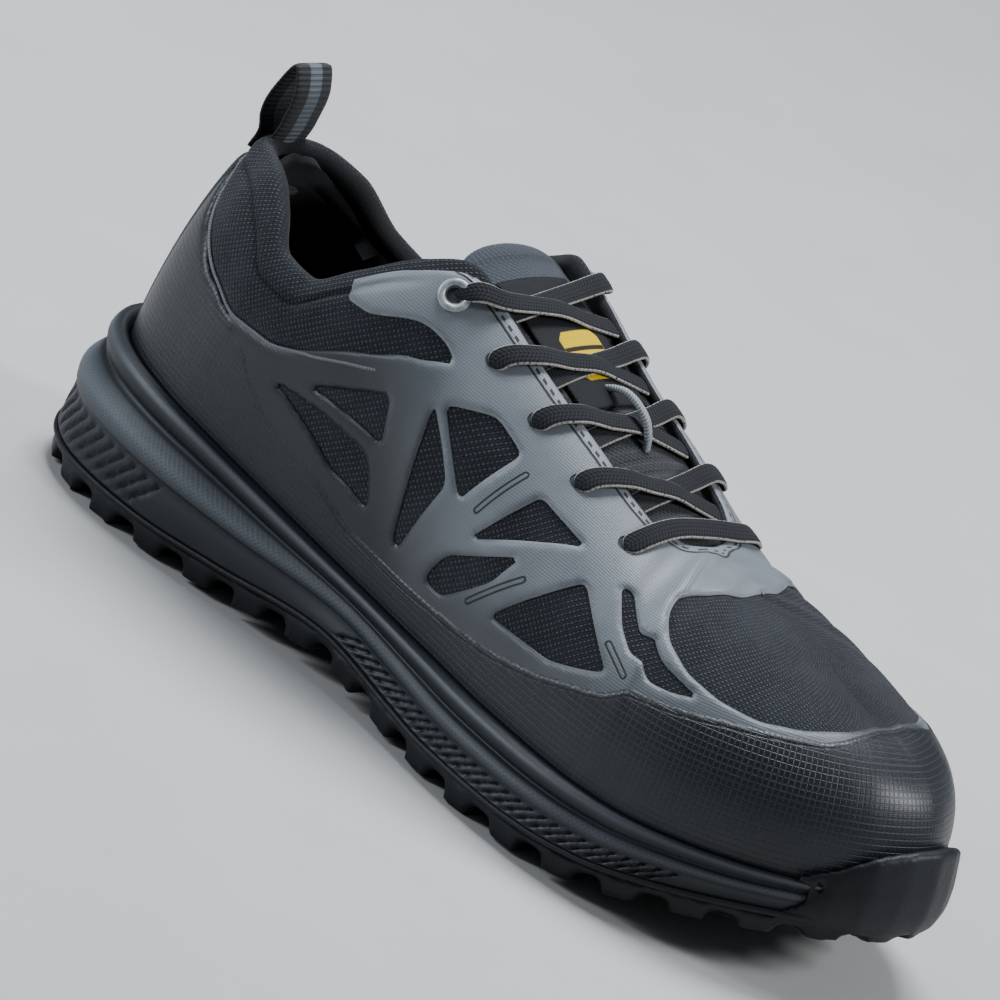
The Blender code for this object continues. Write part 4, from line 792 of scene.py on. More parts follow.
class Finish:
    """One material: a Principled shader, and the nodes that vary its colour, roughness and bump."""

    def __init__(self, name, roughness=0.5, **fixed):
        self.material = bpy.data.materials.new(name)
        self.material.use_nodes = True
        self.tree = self.material.node_tree
        self.shader = self.tree.nodes["Principled BSDF"]
        self.shader.inputs["Roughness"].default_value = roughness
        for key, value in fixed.items():
            self.shader.inputs[key.replace("_", " ").title().replace("Ior", "IOR")].default_value = value

    def node(self, kind, settings=None, values=None, output=0):
        """Any node by its type: its settings first, then the numbers or links of its sockets."""
        made = self.tree.nodes.new(kind)
        for key, value in (settings or {}).items():
            setattr(made, key, value)
        for key, value in (values or {}).items():
            self.join(value, made.inputs[key])
        return Field(self, made.outputs[output])

    def join(self, value, socket):
        if isinstance(value, Field):
            self.tree.links.new(value.socket, socket)
        else:
            socket.default_value = value

    def cloth(self):
        """The cloth place of the surface in millimetres: across or around, and along or up."""
        flat = self.node("ShaderNodeUVMap", {"uv_map": "cloth"})
        split = self.node("ShaderNodeSeparateXYZ", None, {0: flat})
        return [Field(self, split.socket.node.outputs[k]) * 1000.0 for k in (0, 1)]

    def own(self, name):
        """A number that the piece carries for each point."""
        return self.node("ShaderNodeAttribute", {"attribute_name": name}, None, "Fac")

    def noise(self, size, detail=3.0, rough=0.55):
        """Cloudy noise whose lumps are about that many millimetres across."""
        place = self.node("ShaderNodeTexCoord", None, None, "Object")
        return self.node("ShaderNodeTexNoise", None,
                         {"Vector": place, "Scale": 1000.0 / size, "Detail": detail, "Roughness": rough})

    def mix(self, share, one, other):
        """One colour turning into the other as the share goes from 0 to 1."""
        made = self.node("ShaderNodeMix", {"data_type": "RGBA"}, {0: share}, 2)
        for value, key in ((one, 6), (other, 7)):
            value = value if isinstance(value, Field) else (*value, 1)
            self.join(value, made.socket.node.inputs[key])
        return made

    def cover(self, colour=None, rough=None, height=None, depth=0.3, coat=None):
        """Links the finish's colour, roughness, coat and bump, whose depth is in millimetres."""
        if colour is not None:
            self.join(colour if isinstance(colour, Field) else (*colour, 1), self.shader.inputs["Base Color"])
        if rough is not None:
            self.join(rough, self.shader.inputs["Roughness"])
        if coat is not None:
            self.join(coat, self.shader.inputs["Coat Weight"])
        if height is not None:
            relief = {"Strength": 1.0, "Distance": depth * MM, "Height": height}
            bump = self.node("ShaderNodeBump", None, relief)
            self.join(bump, self.shader.inputs["Normal"])
        return self.material


def wave(value, period):
    """A sine over a field, from -1 to 1, once in each period."""
    return (value * (2 * np.pi / period)).sine()


def knit_finish(tint, dots):
    """Open knit: staggered light loops over a dark ground."""
    f = Finish("knit_mesh", 0.9, specular_ior_level=0.3, sheen_weight=0.08, sheen_roughness=0.4)
    u, v = f.cloth()
    loops = (wave(u, 2.0) * wave(v, 1.8)).rise(0.1, 0.95)
    fine = (wave(u, 1.0) * wave(v, 0.9)).rise(-0.4, 0.6)
    clouds = f.noise(14.0)
    fuzz = f.noise(0.9, 2.0)
    lining = f.own("lining")
    seam = f.own("seam")
    base = f.mix(loops * fuzz.rise(0.3, 0.6), tint, dots)
    base = f.mix(clouds.rise(0.35, 0.75) * 0.35, base, (0.034, 0.039, 0.05))
    base = f.mix(seam, base, (0.003, 0.0035, 0.004))
    base = f.mix(lining, base, (0.006, 0.0065, 0.008))
    height = (loops * 0.9 + fine * 0.25) * (1 - lining) + fuzz * 0.35 - seam * 1.5
    return f.cover(base, None, height, 0.35)


def film_finish(tint):
    """Woven-backed film: a fine diagonal twill, pressed slots and a stitched fold, darker towards the heel
    and the sole (partly its own tone, partly painted shade). It is lighter along the fold (a painted
    highlight) and along the cut edges (partly their own paler cut, partly a painted highlight), and near
    black in the slots, the crease and the eyelet holes (painted shade).
    """
    f = Finish("ripstop_film", 0.42, specular_ior_level=0.5, sheen_weight=0.05, sheen_roughness=0.4)
    slot_radius = 0.75
    fold_width, stitch_line = 3.7, 2.3
    u, v = f.cloth()
    edge = f.own("edge")
    twill = (wave(u + v * 0.85, 1.35) * wave(u - v * 0.85, 1.35)).rise(-0.75, 0.85)
    clouds = f.noise(22.0)
    speck = f.noise(0.8, 2.0)
    shade = f.own("shade")
    side, past = f.own("slot_across"), f.own("slot_past")
    ring = (side * side + past * past).math("SQRT") - slot_radius
    pressed = ring.size().rise(0.42, 0.12) * f.own("slot_near")
    fold = f.own("throat")
    on_fold = fold.rise(3.6, 3.2)
    crease = (fold - fold_width).size().rise(0.5, 0.15)
    dash = (fold - stitch_line).size().rise(0.5, 0.25) * (wave(u, 3.4).rise(-0.15, 0.15))
    rim = edge.rise(0.8, 0.25)
    hole = f.own("hole").rise(2.5, 2.1)
    base = f.mix(twill * 0.4 + speck * 0.2, tint, (0.25, 0.275, 0.30))
    base = f.mix(clouds.rise(0.3, 0.8) * 0.35, base, (0.055, 0.067, 0.083))
    # Painted highlight: the band along the throat's fold is made lighter where the eyestay faces the light
    base = f.mix(on_fold * 0.35, base, (0.24, 0.26, 0.28))
    # Lighter cut edge: partly the edge's own paler cut, partly a painted highlight along its rounded rim
    base = f.mix(rim * 0.35, base, (0.28, 0.30, 0.325))
    # Painted shade mixed with the film's own darker tone, towards the heel, the sole and the toe
    base = f.mix(shade, base, (0.0075, 0.0095, 0.013))
    # Near black in the pressed slots, the crease and the eyelet holes: painted shade in those recesses; the
    # stitch dashes are dark thread
    dark = pressed.most(crease).most(dash).most(hole)
    base = f.mix(dark * 0.92, base, (0.004, 0.005, 0.006))
    rough = 0.40 + speck * 0.14 - twill * 0.06 + dark * 0.3
    height = twill * 0.22 + speck * 0.10 - pressed * 1.2 - crease * 1.0
    height = height - dash * 0.7 + on_fold * 0.5 - hole * 2.0
    return f.cover(base, rough, height, 0.22)


def guard_finish(tint):
    """Dark ripstop film: small square cells between raised threads, with a soft gloss on their crowns, and a
    painted highlight along its edges in front of the heel.
    """
    f = Finish("dark_film", 0.36, specular_ior_level=0.36, coat_roughness=0.3)
    u, v = f.cloth()
    edge = f.own("edge")
    cell = 1.7
    across = (u * (1 / cell)).part() - 0.5
    up = (v * (1 / cell)).part() - 0.5
    thread = across.size().most(up.size()).rise(0.34, 0.48)
    fine = (wave(u + v, 0.9) * wave(u - v, 0.9)).rise(-0.5, 0.8)
    clouds = f.noise(26.0)
    speck = f.noise(0.8, 2.0)
    # Painted highlight along the film's rounded edge, only in front of the heel
    rim = edge.rise(0.9, 0.3) * f.own("front")
    stitch = (edge - 2.4).size().rise(0.45, 0.15) * f.own("front")
    base = f.mix(thread * 0.25 + speck * 0.15, tint, (0.035, 0.042, 0.052))
    base = f.mix(clouds.rise(0.35, 0.8) * 0.5, base, (0.006, 0.008, 0.011))
    # Painted highlight on the edge
    base = f.mix(rim * 0.5, base, (0.10, 0.115, 0.13))
    base = f.mix(stitch * 0.7, base, (0.003, 0.0035, 0.004))
    rough = 0.33 + thread * 0.14 + speck * 0.12
    height = fine * 0.12 - thread * 0.5 + speck * 0.1 - stitch * 0.9
    return f.cover(base, rough, height, 0.2, 0.10 + clouds * 0.1)


def foam_finish(tint):
    """Moulded foam side: satin, finely textured bands, and a painted highlight on the band's crest, on the
    bead and on the ribs' upper ends.
    """
    f = Finish("midsole_foam", 0.42, specular_ior_level=0.34)
    u, v = f.cloth()
    band = f.own("band")
    bead_and_rib_highlight = f.own("bead_and_rib_highlight")
    hatch = (wave(u + v, 1.5).most(wave(u - v, 1.5))).rise(0.2, 0.9)
    speck = f.noise(0.7, 3.0)
    clouds = f.noise(30.0)
    base = f.mix(clouds.rise(0.3, 0.8) * 0.5 + speck * 0.15, tint, (0.016, 0.020, 0.026))
    # Painted highlight on the band's crest
    base = f.mix(band * (0.6 + hatch * 0.25), base, (0.13, 0.150, 0.175))
    # Painted highlight on the bead and the ribs' upper ends
    base = f.mix(bead_and_rib_highlight * 0.6, base, (0.12, 0.135, 0.155))
    rough = 0.38 + speck * 0.2 + band * 0.08
    height = speck * 0.35 + hatch * band * 0.5
    return f.cover(base, rough, height, 0.12)


def rubber_finish(tint):
    """Moulded rubber: near black, satin, with faint flow marks and dust on what faces down."""
    f = Finish("outsole_rubber", 0.45, specular_ior_level=0.28)
    speck = f.noise(0.8, 3.0)
    clouds = f.noise(25.0)
    facing = f.node("ShaderNodeNewGeometry", None, None, "Normal")
    down = f.node("ShaderNodeSeparateXYZ", None, {0: facing}, "Z").rise(-0.6, -0.95)
    base = f.mix(clouds.rise(0.3, 0.8) * 0.5 + speck * 0.15, tint, (0.013, 0.016, 0.02))
    base = f.mix(down * (0.3 + clouds * 0.3), base, (0.03, 0.03, 0.03))
    rough = 0.40 + speck * 0.22 + down * 0.2
    return f.cover(base, rough, speck, 0.1)


def lace_finish(tint, pale):
    """Flat woven lace: a herringbone of fine picks, and pale threads along both edges."""
    f = Finish("lace", 0.85, specular_ior_level=0.18, sheen_weight=0.03, sheen_roughness=0.4)
    across, along = f.cloth()
    picks = wave(along + across.size() * 0.5, 1.1).rise(-0.5, 0.6)
    rows = wave(across, 1.15).rise(-0.6, 0.6)
    fuzz = f.noise(0.6, 2.0)
    rim = across.size().rise(2.65, 2.95)
    broken = (fuzz + wave(along, 1.6) * 0.1).rise(0.25, 0.45)
    base = f.mix(picks * 0.45 + fuzz * 0.35, tint, (0.028, 0.031, 0.036))
    base = f.mix(rim * broken * 0.9, base, pale)
    return f.cover(base, None, picks * 0.35 + rows * 0.4 + fuzz * 0.4 + rim * 0.3, 0.2)


def tongue_finish(tint):
    """Fuzzy slate knit on the tongue's top, black padded cloth with stitched channels below it."""
    f = Finish("tongue_knit", 0.9, specular_ior_level=0.3, sheen_weight=0.15, sheen_roughness=0.5)
    across, along = f.cloth()
    fuzz = f.noise(0.9, 3.0)
    lobe = f.own("lobe")
    knit = (wave(across, 1.9) * wave(along, 1.9)).rise(-0.2, 0.8)
    ribbed = wave(along, 4.2).rise(-0.9, 0.2)
    base = f.mix(fuzz * 0.6 + knit * 0.25, (0.008, 0.009, 0.011), (0.028, 0.031, 0.036))
    slate = f.mix(fuzz * 0.7 + knit * 0.3, (0.022, 0.027, 0.036), tint)
    base = f.mix(lobe, base, slate)
    height = fuzz * 0.7 + knit * 0.4 + ribbed * (1 - lobe) * 0.8
    return f.cover(base, None, height, 0.4)


def label_finish(yellow):
    """A black woven patch with one plain yellow tab, crossed by plain dark stripes."""
    f = Finish("label_yellow", 0.7, specular_ior_level=0.2)
    middle_across, middle_along = 1.0, 27.0
    stripe_step = 4.4
    across, along = f.cloth()
    tab = (across - middle_across).size().rise(8.4, 7.9) * (along - middle_along).size().rise(8.2, 7.7)
    corner = ((across - middle_across).size() + (along - middle_along).size()).rise(14.2, 13.6)
    rows = ((along - middle_along) * (1 / stripe_step)).part()
    stripes = (along - middle_along).size().rise(6.0, 5.7) * rows.rise(0.30, 0.37) * rows.rise(0.70, 0.63)
    weave = (wave(across, 0.9) * wave(along, 0.9)).rise(-0.6, 0.6)
    speck = f.noise(0.7, 2.0)
    base = f.mix(weave * 0.4 + speck * 0.3, (0.006, 0.0065, 0.008), (0.02, 0.021, 0.026))
    gold = f.mix(weave * 0.3 + speck * 0.3, yellow, (0.5, 0.33, 0.0))
    on = tab * corner
    base = f.mix(on, base, gold)
    base = f.mix(on * stripes, base, (0.02, 0.018, 0.01))
    return f.cover(base, None, weave * 0.5 + on * 0.8, 0.2)


def webbing_finish(stripe):
    """Black webbing with a grey middle stripe, ribbed across."""
    f = Finish("webbing", 0.75, specular_ior_level=0.4, sheen_weight=0.08, sheen_roughness=0.4)
    across, along = f.cloth()
    ribs_across = wave(along, 1.5).rise(-0.6, 0.7)
    fuzz = f.noise(0.7, 2.0)
    middle = across.size().rise(2.7, 2.3)
    base = f.mix(ribs_across * 0.5 + fuzz * 0.3, (0.006, 0.0065, 0.008), (0.022, 0.024, 0.028))
    grey = f.mix(ribs_across * 0.5 + fuzz * 0.3, (0.06, 0.075, 0.09), stripe)
    base = f.mix(middle, base, grey)
    return f.cover(base, None, ribs_across * 0.8 + fuzz * 0.3, 0.3)


def cord_finish(name, tint, rough=0.6):
    """Round cord: fine twisted yarns across its length."""
    f = Finish(name, rough)
    across, along = f.cloth()
    twist = wave(along + across * 0.8, 0.9).rise(-0.7, 0.7)
    fuzz = f.noise(0.6, 2.0)
    dark = tuple(0.45 * c for c in tint)
    return f.cover(f.mix(twist * 0.7 + fuzz * 0.3, dark, tint), None, twist + fuzz * 0.4, 0.15)


def ring_finish(tint):
    """Painted metal ring: pale grey, with slight wear."""
    f = Finish("eyelet_metal", 0.38, metallic=0.35)
    wear = f.noise(1.6, 3.0)
    base = f.mix(wear.rise(0.35, 0.7), tuple(0.7 * c for c in tint), tint)
    return f.cover(base, 0.30 + wear * 0.2, wear, 0.05)


def lining_finish():
    """Brushed dark lining and footbed."""
    f = Finish("lining", 0.9, specular_ior_level=0.3, sheen_weight=0.1, sheen_roughness=0.5)
    fuzz = f.noise(1.0, 3.0)
    base = f.mix(fuzz, (0.006, 0.0065, 0.008), (0.024, 0.026, 0.031))
    return f.cover(base, None, fuzz, 0.4)


def mirrored(line):
    """The same line for both sides of the shoe."""
    return [(sign, line) for sign in (-1, 1)]


def skin_field(sides_lines):
    """Distance in metres from every point of the skin to the nearest of the lines drawn on it."""
    best = np.full(skin.points.shape[:2], 1.0)
    for sign, line in sides_lines:
        chain = skin.along_line(sign, line)
        near = skin.sign == sign
        near[0] = near[skin.columns] = True
        best[near] = np.minimum(best[near], to_line(skin.points[near], chain))
    return best


def cut_field(outline, sign, corners, closed=True):
    """Distance from the edge of a window, above 0 outside it and below 0 inside it."""
    edge = rounded(outline, closed=closed)
    near = skin.sign == sign
    near[0] = near[skin.columns] = True
    away = np.full(skin.points.shape[:2], 1.0)
    away[near] = to_line(skin.points[near], skin.along_line(sign, edge))
    inside = within(skin.along, skin.row, edge if corners is None else np.array(corners)) & near[:, None]
    return np.where(inside, -away, away)


def guard_row(share):
    """Row of the mudguard's upper edge: the part's own, and up to the collar's seam behind the ankle."""
    back = 1 - ease(0.215, 0.25, share)
    return np.maximum(GUARD_EDGE("row", share), back * (panel_row(share) - 0.012))


def guard_field():
    """Distance below the mudguard's upper edge, in metres, and that edge on both sides."""
    edge = guard_row(skin.share)
    line = np.linspace(0, 1, 240)
    chain = np.stack([line, guard_row(line)], 1)
    away = skin_field(mirrored(chain))
    return np.where(skin.row < edge[:, None], away, -away), mirrored(chain)


# Where the heel counter ends: share of the side and row
COUNTER_SHARE = 0.066
COUNTER_ROW = 0.86
# The eyelets from the top down: share and row
EYELETS = ((0.395, 0.90), (0.452, 0.868), (0.506, 0.847), (0.567, 0.83), (0.634, 0.825))
# Pressed slots on the struts
SLOTS = (((0.494, 0.458), (0.519, 0.675)), ((0.519, 0.225), (0.562, 0.415)), ((0.663, 0.452), (0.688, 0.356)))


def slot_marks():
    """For the nearest slot: place across its line, length past its ends, and 1 close by, in millimetres."""
    across = np.full(skin.points.shape[:2], 9.0)
    past = np.full(skin.points.shape[:2], 9.0)
    best = np.full(skin.points.shape[:2], 1.0)
    for sign in (-1, 1):
        for start, end in SLOTS:
            first, last = skin.at(sign, *start), skin.at(sign, *end)
            normal = skin.up(sign, *((np.array(start) + end) / 2))
            half = np.linalg.norm(last - first) / 2
            way = (last - first) / (2 * half)
            off = skin.points - (first + last) / 2
            along = np.maximum(np.abs(off @ way) - half, 0)
            side = off @ unit(np.cross(normal, way))
            away = np.hypot(np.hypot(along, side), 0.3 * (off @ normal))
            near = away < best
            best[near], across[near], past[near] = away[near], side[near], along[near]
    return across / MM, past / MM, 1 - ease(2.2 * MM, 3.0 * MM, best)


def cage_field():
    """Distance inside the cage's film, which lies outside every window, and the lines that bound it."""
    field = np.full(skin.points.shape[:2], 1.0)
    lines = []
    seam = [place for place in PANEL_LINE if place[0] < 0.28]
    collar = seam + WINDOWS["collar"][2:-2] + [(0.289, 1.2), (0.0, 1.2)]
    for sign in (-1, 1):
        for name, outline in WINDOWS.items():
            outline = collar if name == "collar" else outline
            field = np.minimum(field, cut_field(outline, sign, None))
            lines.append((sign, rounded(outline)))
        closing = VAMP_WINDOW + [(1.05, 0.86), (1.05, 1.2), (0.795, 1.2)]
        field = np.minimum(field, cut_field(VAMP_WINDOW, sign, closing, closed=False))
        lines.append((sign, rounded(VAMP_WINDOW, closed=False)))
    height = skin.climb[:, -1]
    field = np.minimum(field, (skin.along - 0.20) * SIDE_RUN)
    margin = (3.2 * MM * (1 - ease(0.37, 0.42, skin.share)) + 0.5 * MM)[:, None]
    edge_gap = (1 - skin.row) * height[:, None] - margin
    return np.where(skin.along < THROAT_END, np.minimum(field, edge_gap), field), lines


def slide(field, keep, times=4):
    """Where the layer's outer points slide to along the skin, so that they lie on the line where field is 0.

    Each step is field over its slope, straight down the slope, with the slope measured on the skin: for the
    skin's two directions p and q the step is -f G^-1 d / (d G^-1 d), where G holds their products and d the
    change of the field along each.
    """
    p = (np.roll(skin.points, -1, 0) - np.roll(skin.points, 1, 0)) / 2
    q = np.gradient(skin.points, axis=1)
    pp, qq, pq = (p * p).sum(-1), (q * q).sum(-1), (p * q).sum(-1)
    whole = np.maximum(pp * qq - pq * pq, 1e-14)
    per_column = (np.roll(field, -1, 0) - np.roll(field, 1, 0)) / 2
    per_row = np.gradient(field, axis=1)
    step_column = (qq * per_column - pq * per_row) / whole
    step_row = (pp * per_row - pq * per_column) / whole
    slope = np.maximum(per_column * step_column + per_row * step_row, 0.25)
    column = np.arange(skin.around)[:, None] + np.zeros(field.shape)
    row = np.arange(skin.top + 1)[None, :] + np.zeros(field.shape)
    first_column, first_row = column, row
    for _ in range(times):
        here = skin.read(field, column, row)
        size = np.where(keep, -here / skin.read(slope, column, row), 0.0)
        column = column + np.clip(size * skin.read(step_column, column, row), -1.0, 1.0)
        row = row + np.clip(size * skin.read(step_row, column, row), -1.0, 1.0)
        column = first_column + np.clip(column - first_column, -1.5, 1.5)
        row = np.clip(first_row + np.clip(row - first_row, -1.5, 1.5), 0, skin.top)
    return column, row


def snap(column, row, field, edge, lines):
    """Puts the edge's points onto the nearest place of the lines that bound the layer.

    A point counts as bounded by a line where its distance to it is the field's own size.
    """
    places, spots, sides = [], [], []
    for sign, line in lines:
        line = np.asarray(line, float)
        length = np.linalg.norm(np.diff(line * [SIDE_RUN, ROW_RUN], axis=0), axis=1)
        length = np.concatenate([[0], np.cumsum(length)])
        at = np.arange(0, length[-1], 0.3 * MM)
        dense = np.stack([np.interp(at, length, line[:, k]) for k in (0, 1)], 1)
        dense = dense[(dense[:, 1] <= 1) & (dense[:, 0] <= 1) & (dense[:, 0] >= 0)]
        places.append(dense)
        spots.append(skin.along_line(sign, dense))
        sides.append(np.full(len(dense), sign))
    places, spots, sides = np.concatenate(places), np.concatenate(spots), np.concatenate(sides)
    for c, r in np.argwhere(edge):
        away = np.linalg.norm(spots - skin.points[c, r], axis=1)
        k = away.argmin()
        if away[k] > 1.8 * MM or abs(away[k] - abs(field[c, r])) > 0.35 * MM:
            continue
        around = places[k, 0] * skin.columns
        around = around if sides[k] < 0 else skin.around - around
        turn = (around - c + skin.around / 2) % skin.around - skin.around / 2
        column[c, r] = c + np.clip(turn, -1.6, 1.6)
        row[c, r] = np.clip(r + np.clip(places[k, 1] * skin.top - r, -1.6, 1.6), 0, skin.top)
    return column, row


def layer(name, field, rise, finish, slot, nodes, values, lines, start=0.06 * MM, soft=1.3 * MM):
    """A closed sheet over the part of the skin where field is above 0, with a rounded edge.

    Height = start + rise * quarter circle of field over soft; the underside lies at start.
    """
    middle = (field[:, :-1] + np.roll(field, -1, 0)[:, :-1] + field[:, 1:] + np.roll(field, -1, 0)[:, 1:]) / 4
    kept = middle > 0
    near = np.zeros(field.shape, bool)
    out = np.zeros(field.shape, bool)
    for c in (0, 1):
        for r in (0, 1):
            moved = np.roll(kept, c, 0)
            near[:, r : r + skin.top] |= moved
            out[:, r : r + skin.top] |= ~moved
    edge = near & out
    column, row = snap(*slide(field, edge), field, edge, lines)

    def here(grid):
        return skin.read(grid, column, row)

    points, normal = here(skin.points), unit(here(skin.normal))
    inside = np.where(edge, 0.0, np.maximum(field, 0.0))
    round_edge = np.sqrt(1 - (1 - np.clip(inside / soft, 0, 1)) ** 2)
    rise = rise * np.ones(field.shape)
    over = points + normal * (start + here(rise) * (0.3 + 0.7 * round_edge))[..., None]
    under = points + normal * start
    numbers = np.arange(field.size).reshape(field.shape)
    faces = grid_faces(numbers, True).reshape(skin.around, skin.top, 4)[kept]
    sides = np.concatenate([faces[:, [k, (k + 1) % 4]] for k in range(4)])
    keys = np.sort(sides, 1)
    _, first, times = np.unique(keys, axis=0, return_index=True, return_counts=True)
    rim = sides[first[times == 1]]
    throat = int(round(THROAT_END * skin.columns))
    ridge = np.zeros(field.shape, bool)
    ridge[throat : skin.around - throat + 1, -1] = True
    rim = rim[~(ridge.ravel()[rim].all(1))]
    count = field.size
    walls = np.concatenate([rim, rim[:, ::-1] + count], 1)
    own = {"edge": inside / MM}
    own.update({key: here(value) for key, value in values.items()})
    both = {key: np.concatenate([value.ravel(), value.ravel()]) for key, value in own.items()}
    cloth = here(skin.cloth).reshape(-1, 2)
    points = np.concatenate([over.reshape(-1, 3), under.reshape(-1, 3)])
    faces = [faces, faces[:, ::-1] + count, walls]
    return piece(name, points, faces, finish, slot, np.concatenate([cloth, cloth]), both, nodes)


def knit_upper(finish):
    """The knitted shell: the skin, a rolled edge round the collar and throat, and the lining inside.

    Outer points are the skin's; inner ones lie the wall's thickness below; the roll is half an ellipse.
    """
    thick = thickness(skin.along, skin.row)
    inner = skin.points - skin.normal * thick[..., None]
    for _ in range(60):
        eased = (np.roll(inner, 1, 0) + inner * 2 + np.roll(inner, -1, 0)) / 4
        inner = inner + (eased - inner) * (1 - ease(0.10, 0.20, skin.along))[..., None]
    outer_top, inner_top = skin.points[:, -1], inner[:, -1]
    way = unit(skin.points[:, -1] - skin.points[:, -3])
    angle = np.linspace(0, np.pi, 9)[1:-1]
    half = (outer_top - inner_top) / 2
    roll = (outer_top + inner_top)[:, None] / 2 + half[:, None] * np.cos(angle)[None, :, None]
    roll = roll + (way * 0.38 * thick[:, -1:])[:, None] * np.sin(angle)[None, :, None]
    closed = skin.share >= THROAT_END - 1e-9
    flat = (outer_top + inner_top)[:, None] / 2 + half[:, None] * np.cos(angle)[None, :, None]
    roll[closed] = flat[closed]
    every = slice(None, None, 2)
    inner = inner[:, ::-1][:, every]
    profile = np.concatenate([skin.points, roll, inner], 1)
    cloth_in = skin.cloth[:, ::-1][:, every]
    cloth_roll = np.repeat(skin.cloth[:, -1:], len(angle), 1) + [0, 1] * (angle * 3 * MM)[None, :, None]
    cloth = np.concatenate([skin.cloth, cloth_roll, cloth_in + [0, 0.2]], 1)
    numbers = np.arange(profile.shape[0] * profile.shape[1]).reshape(profile.shape[:2])
    faces = grid_faces(numbers, True).reshape(skin.around, profile.shape[1] - 1, 4)
    keep = np.ones(faces.shape[:2], bool)
    both_closed = closed & np.roll(closed, -1)
    keep[np.ix_(both_closed, np.arange(skin.top, skin.top + len(angle) + 1))] = False
    foot = grid_faces(np.stack([numbers[:, -1], numbers[:, 0]], 1), True)
    turned_in = np.broadcast_to(ease(0.2, 1.6, angle), roll.shape[:2])
    lining = np.concatenate([np.zeros(skin.points.shape[:2]), turned_in, np.ones(inner.shape[:2])], 1)
    height = skin.climb[:, -1:]
    to_seam = np.abs((skin.row - panel_row(skin.share)[:, None]) * height)
    binding = np.abs((1 - skin.row) * height - BINDING_WIDTH)
    behind = 1 - ease(0.33, 0.38, skin.along)
    seam = bell(to_seam, 0.8 * MM) * (1 - ease(0.28, 0.31, skin.along))
    seam = np.maximum(seam, 0.75 * bell(binding, 0.7 * MM) * behind)
    seam = np.concatenate([seam, np.zeros(roll.shape[:2]), np.zeros(inner.shape[:2])], 1)
    return piece("knit_upper", profile, [faces[keep], foot], finish, "knit_mesh", cloth,
                 {"lining": lining, "seam": seam}, ("upper",))


# The midsole's ribs: first and last share of the side and how many, and how far they slant forward
RIB_GROUPS = ((0.015, 0.205, 14), (0.425, 0.775, 29))
RIB_SLANT = 0.028


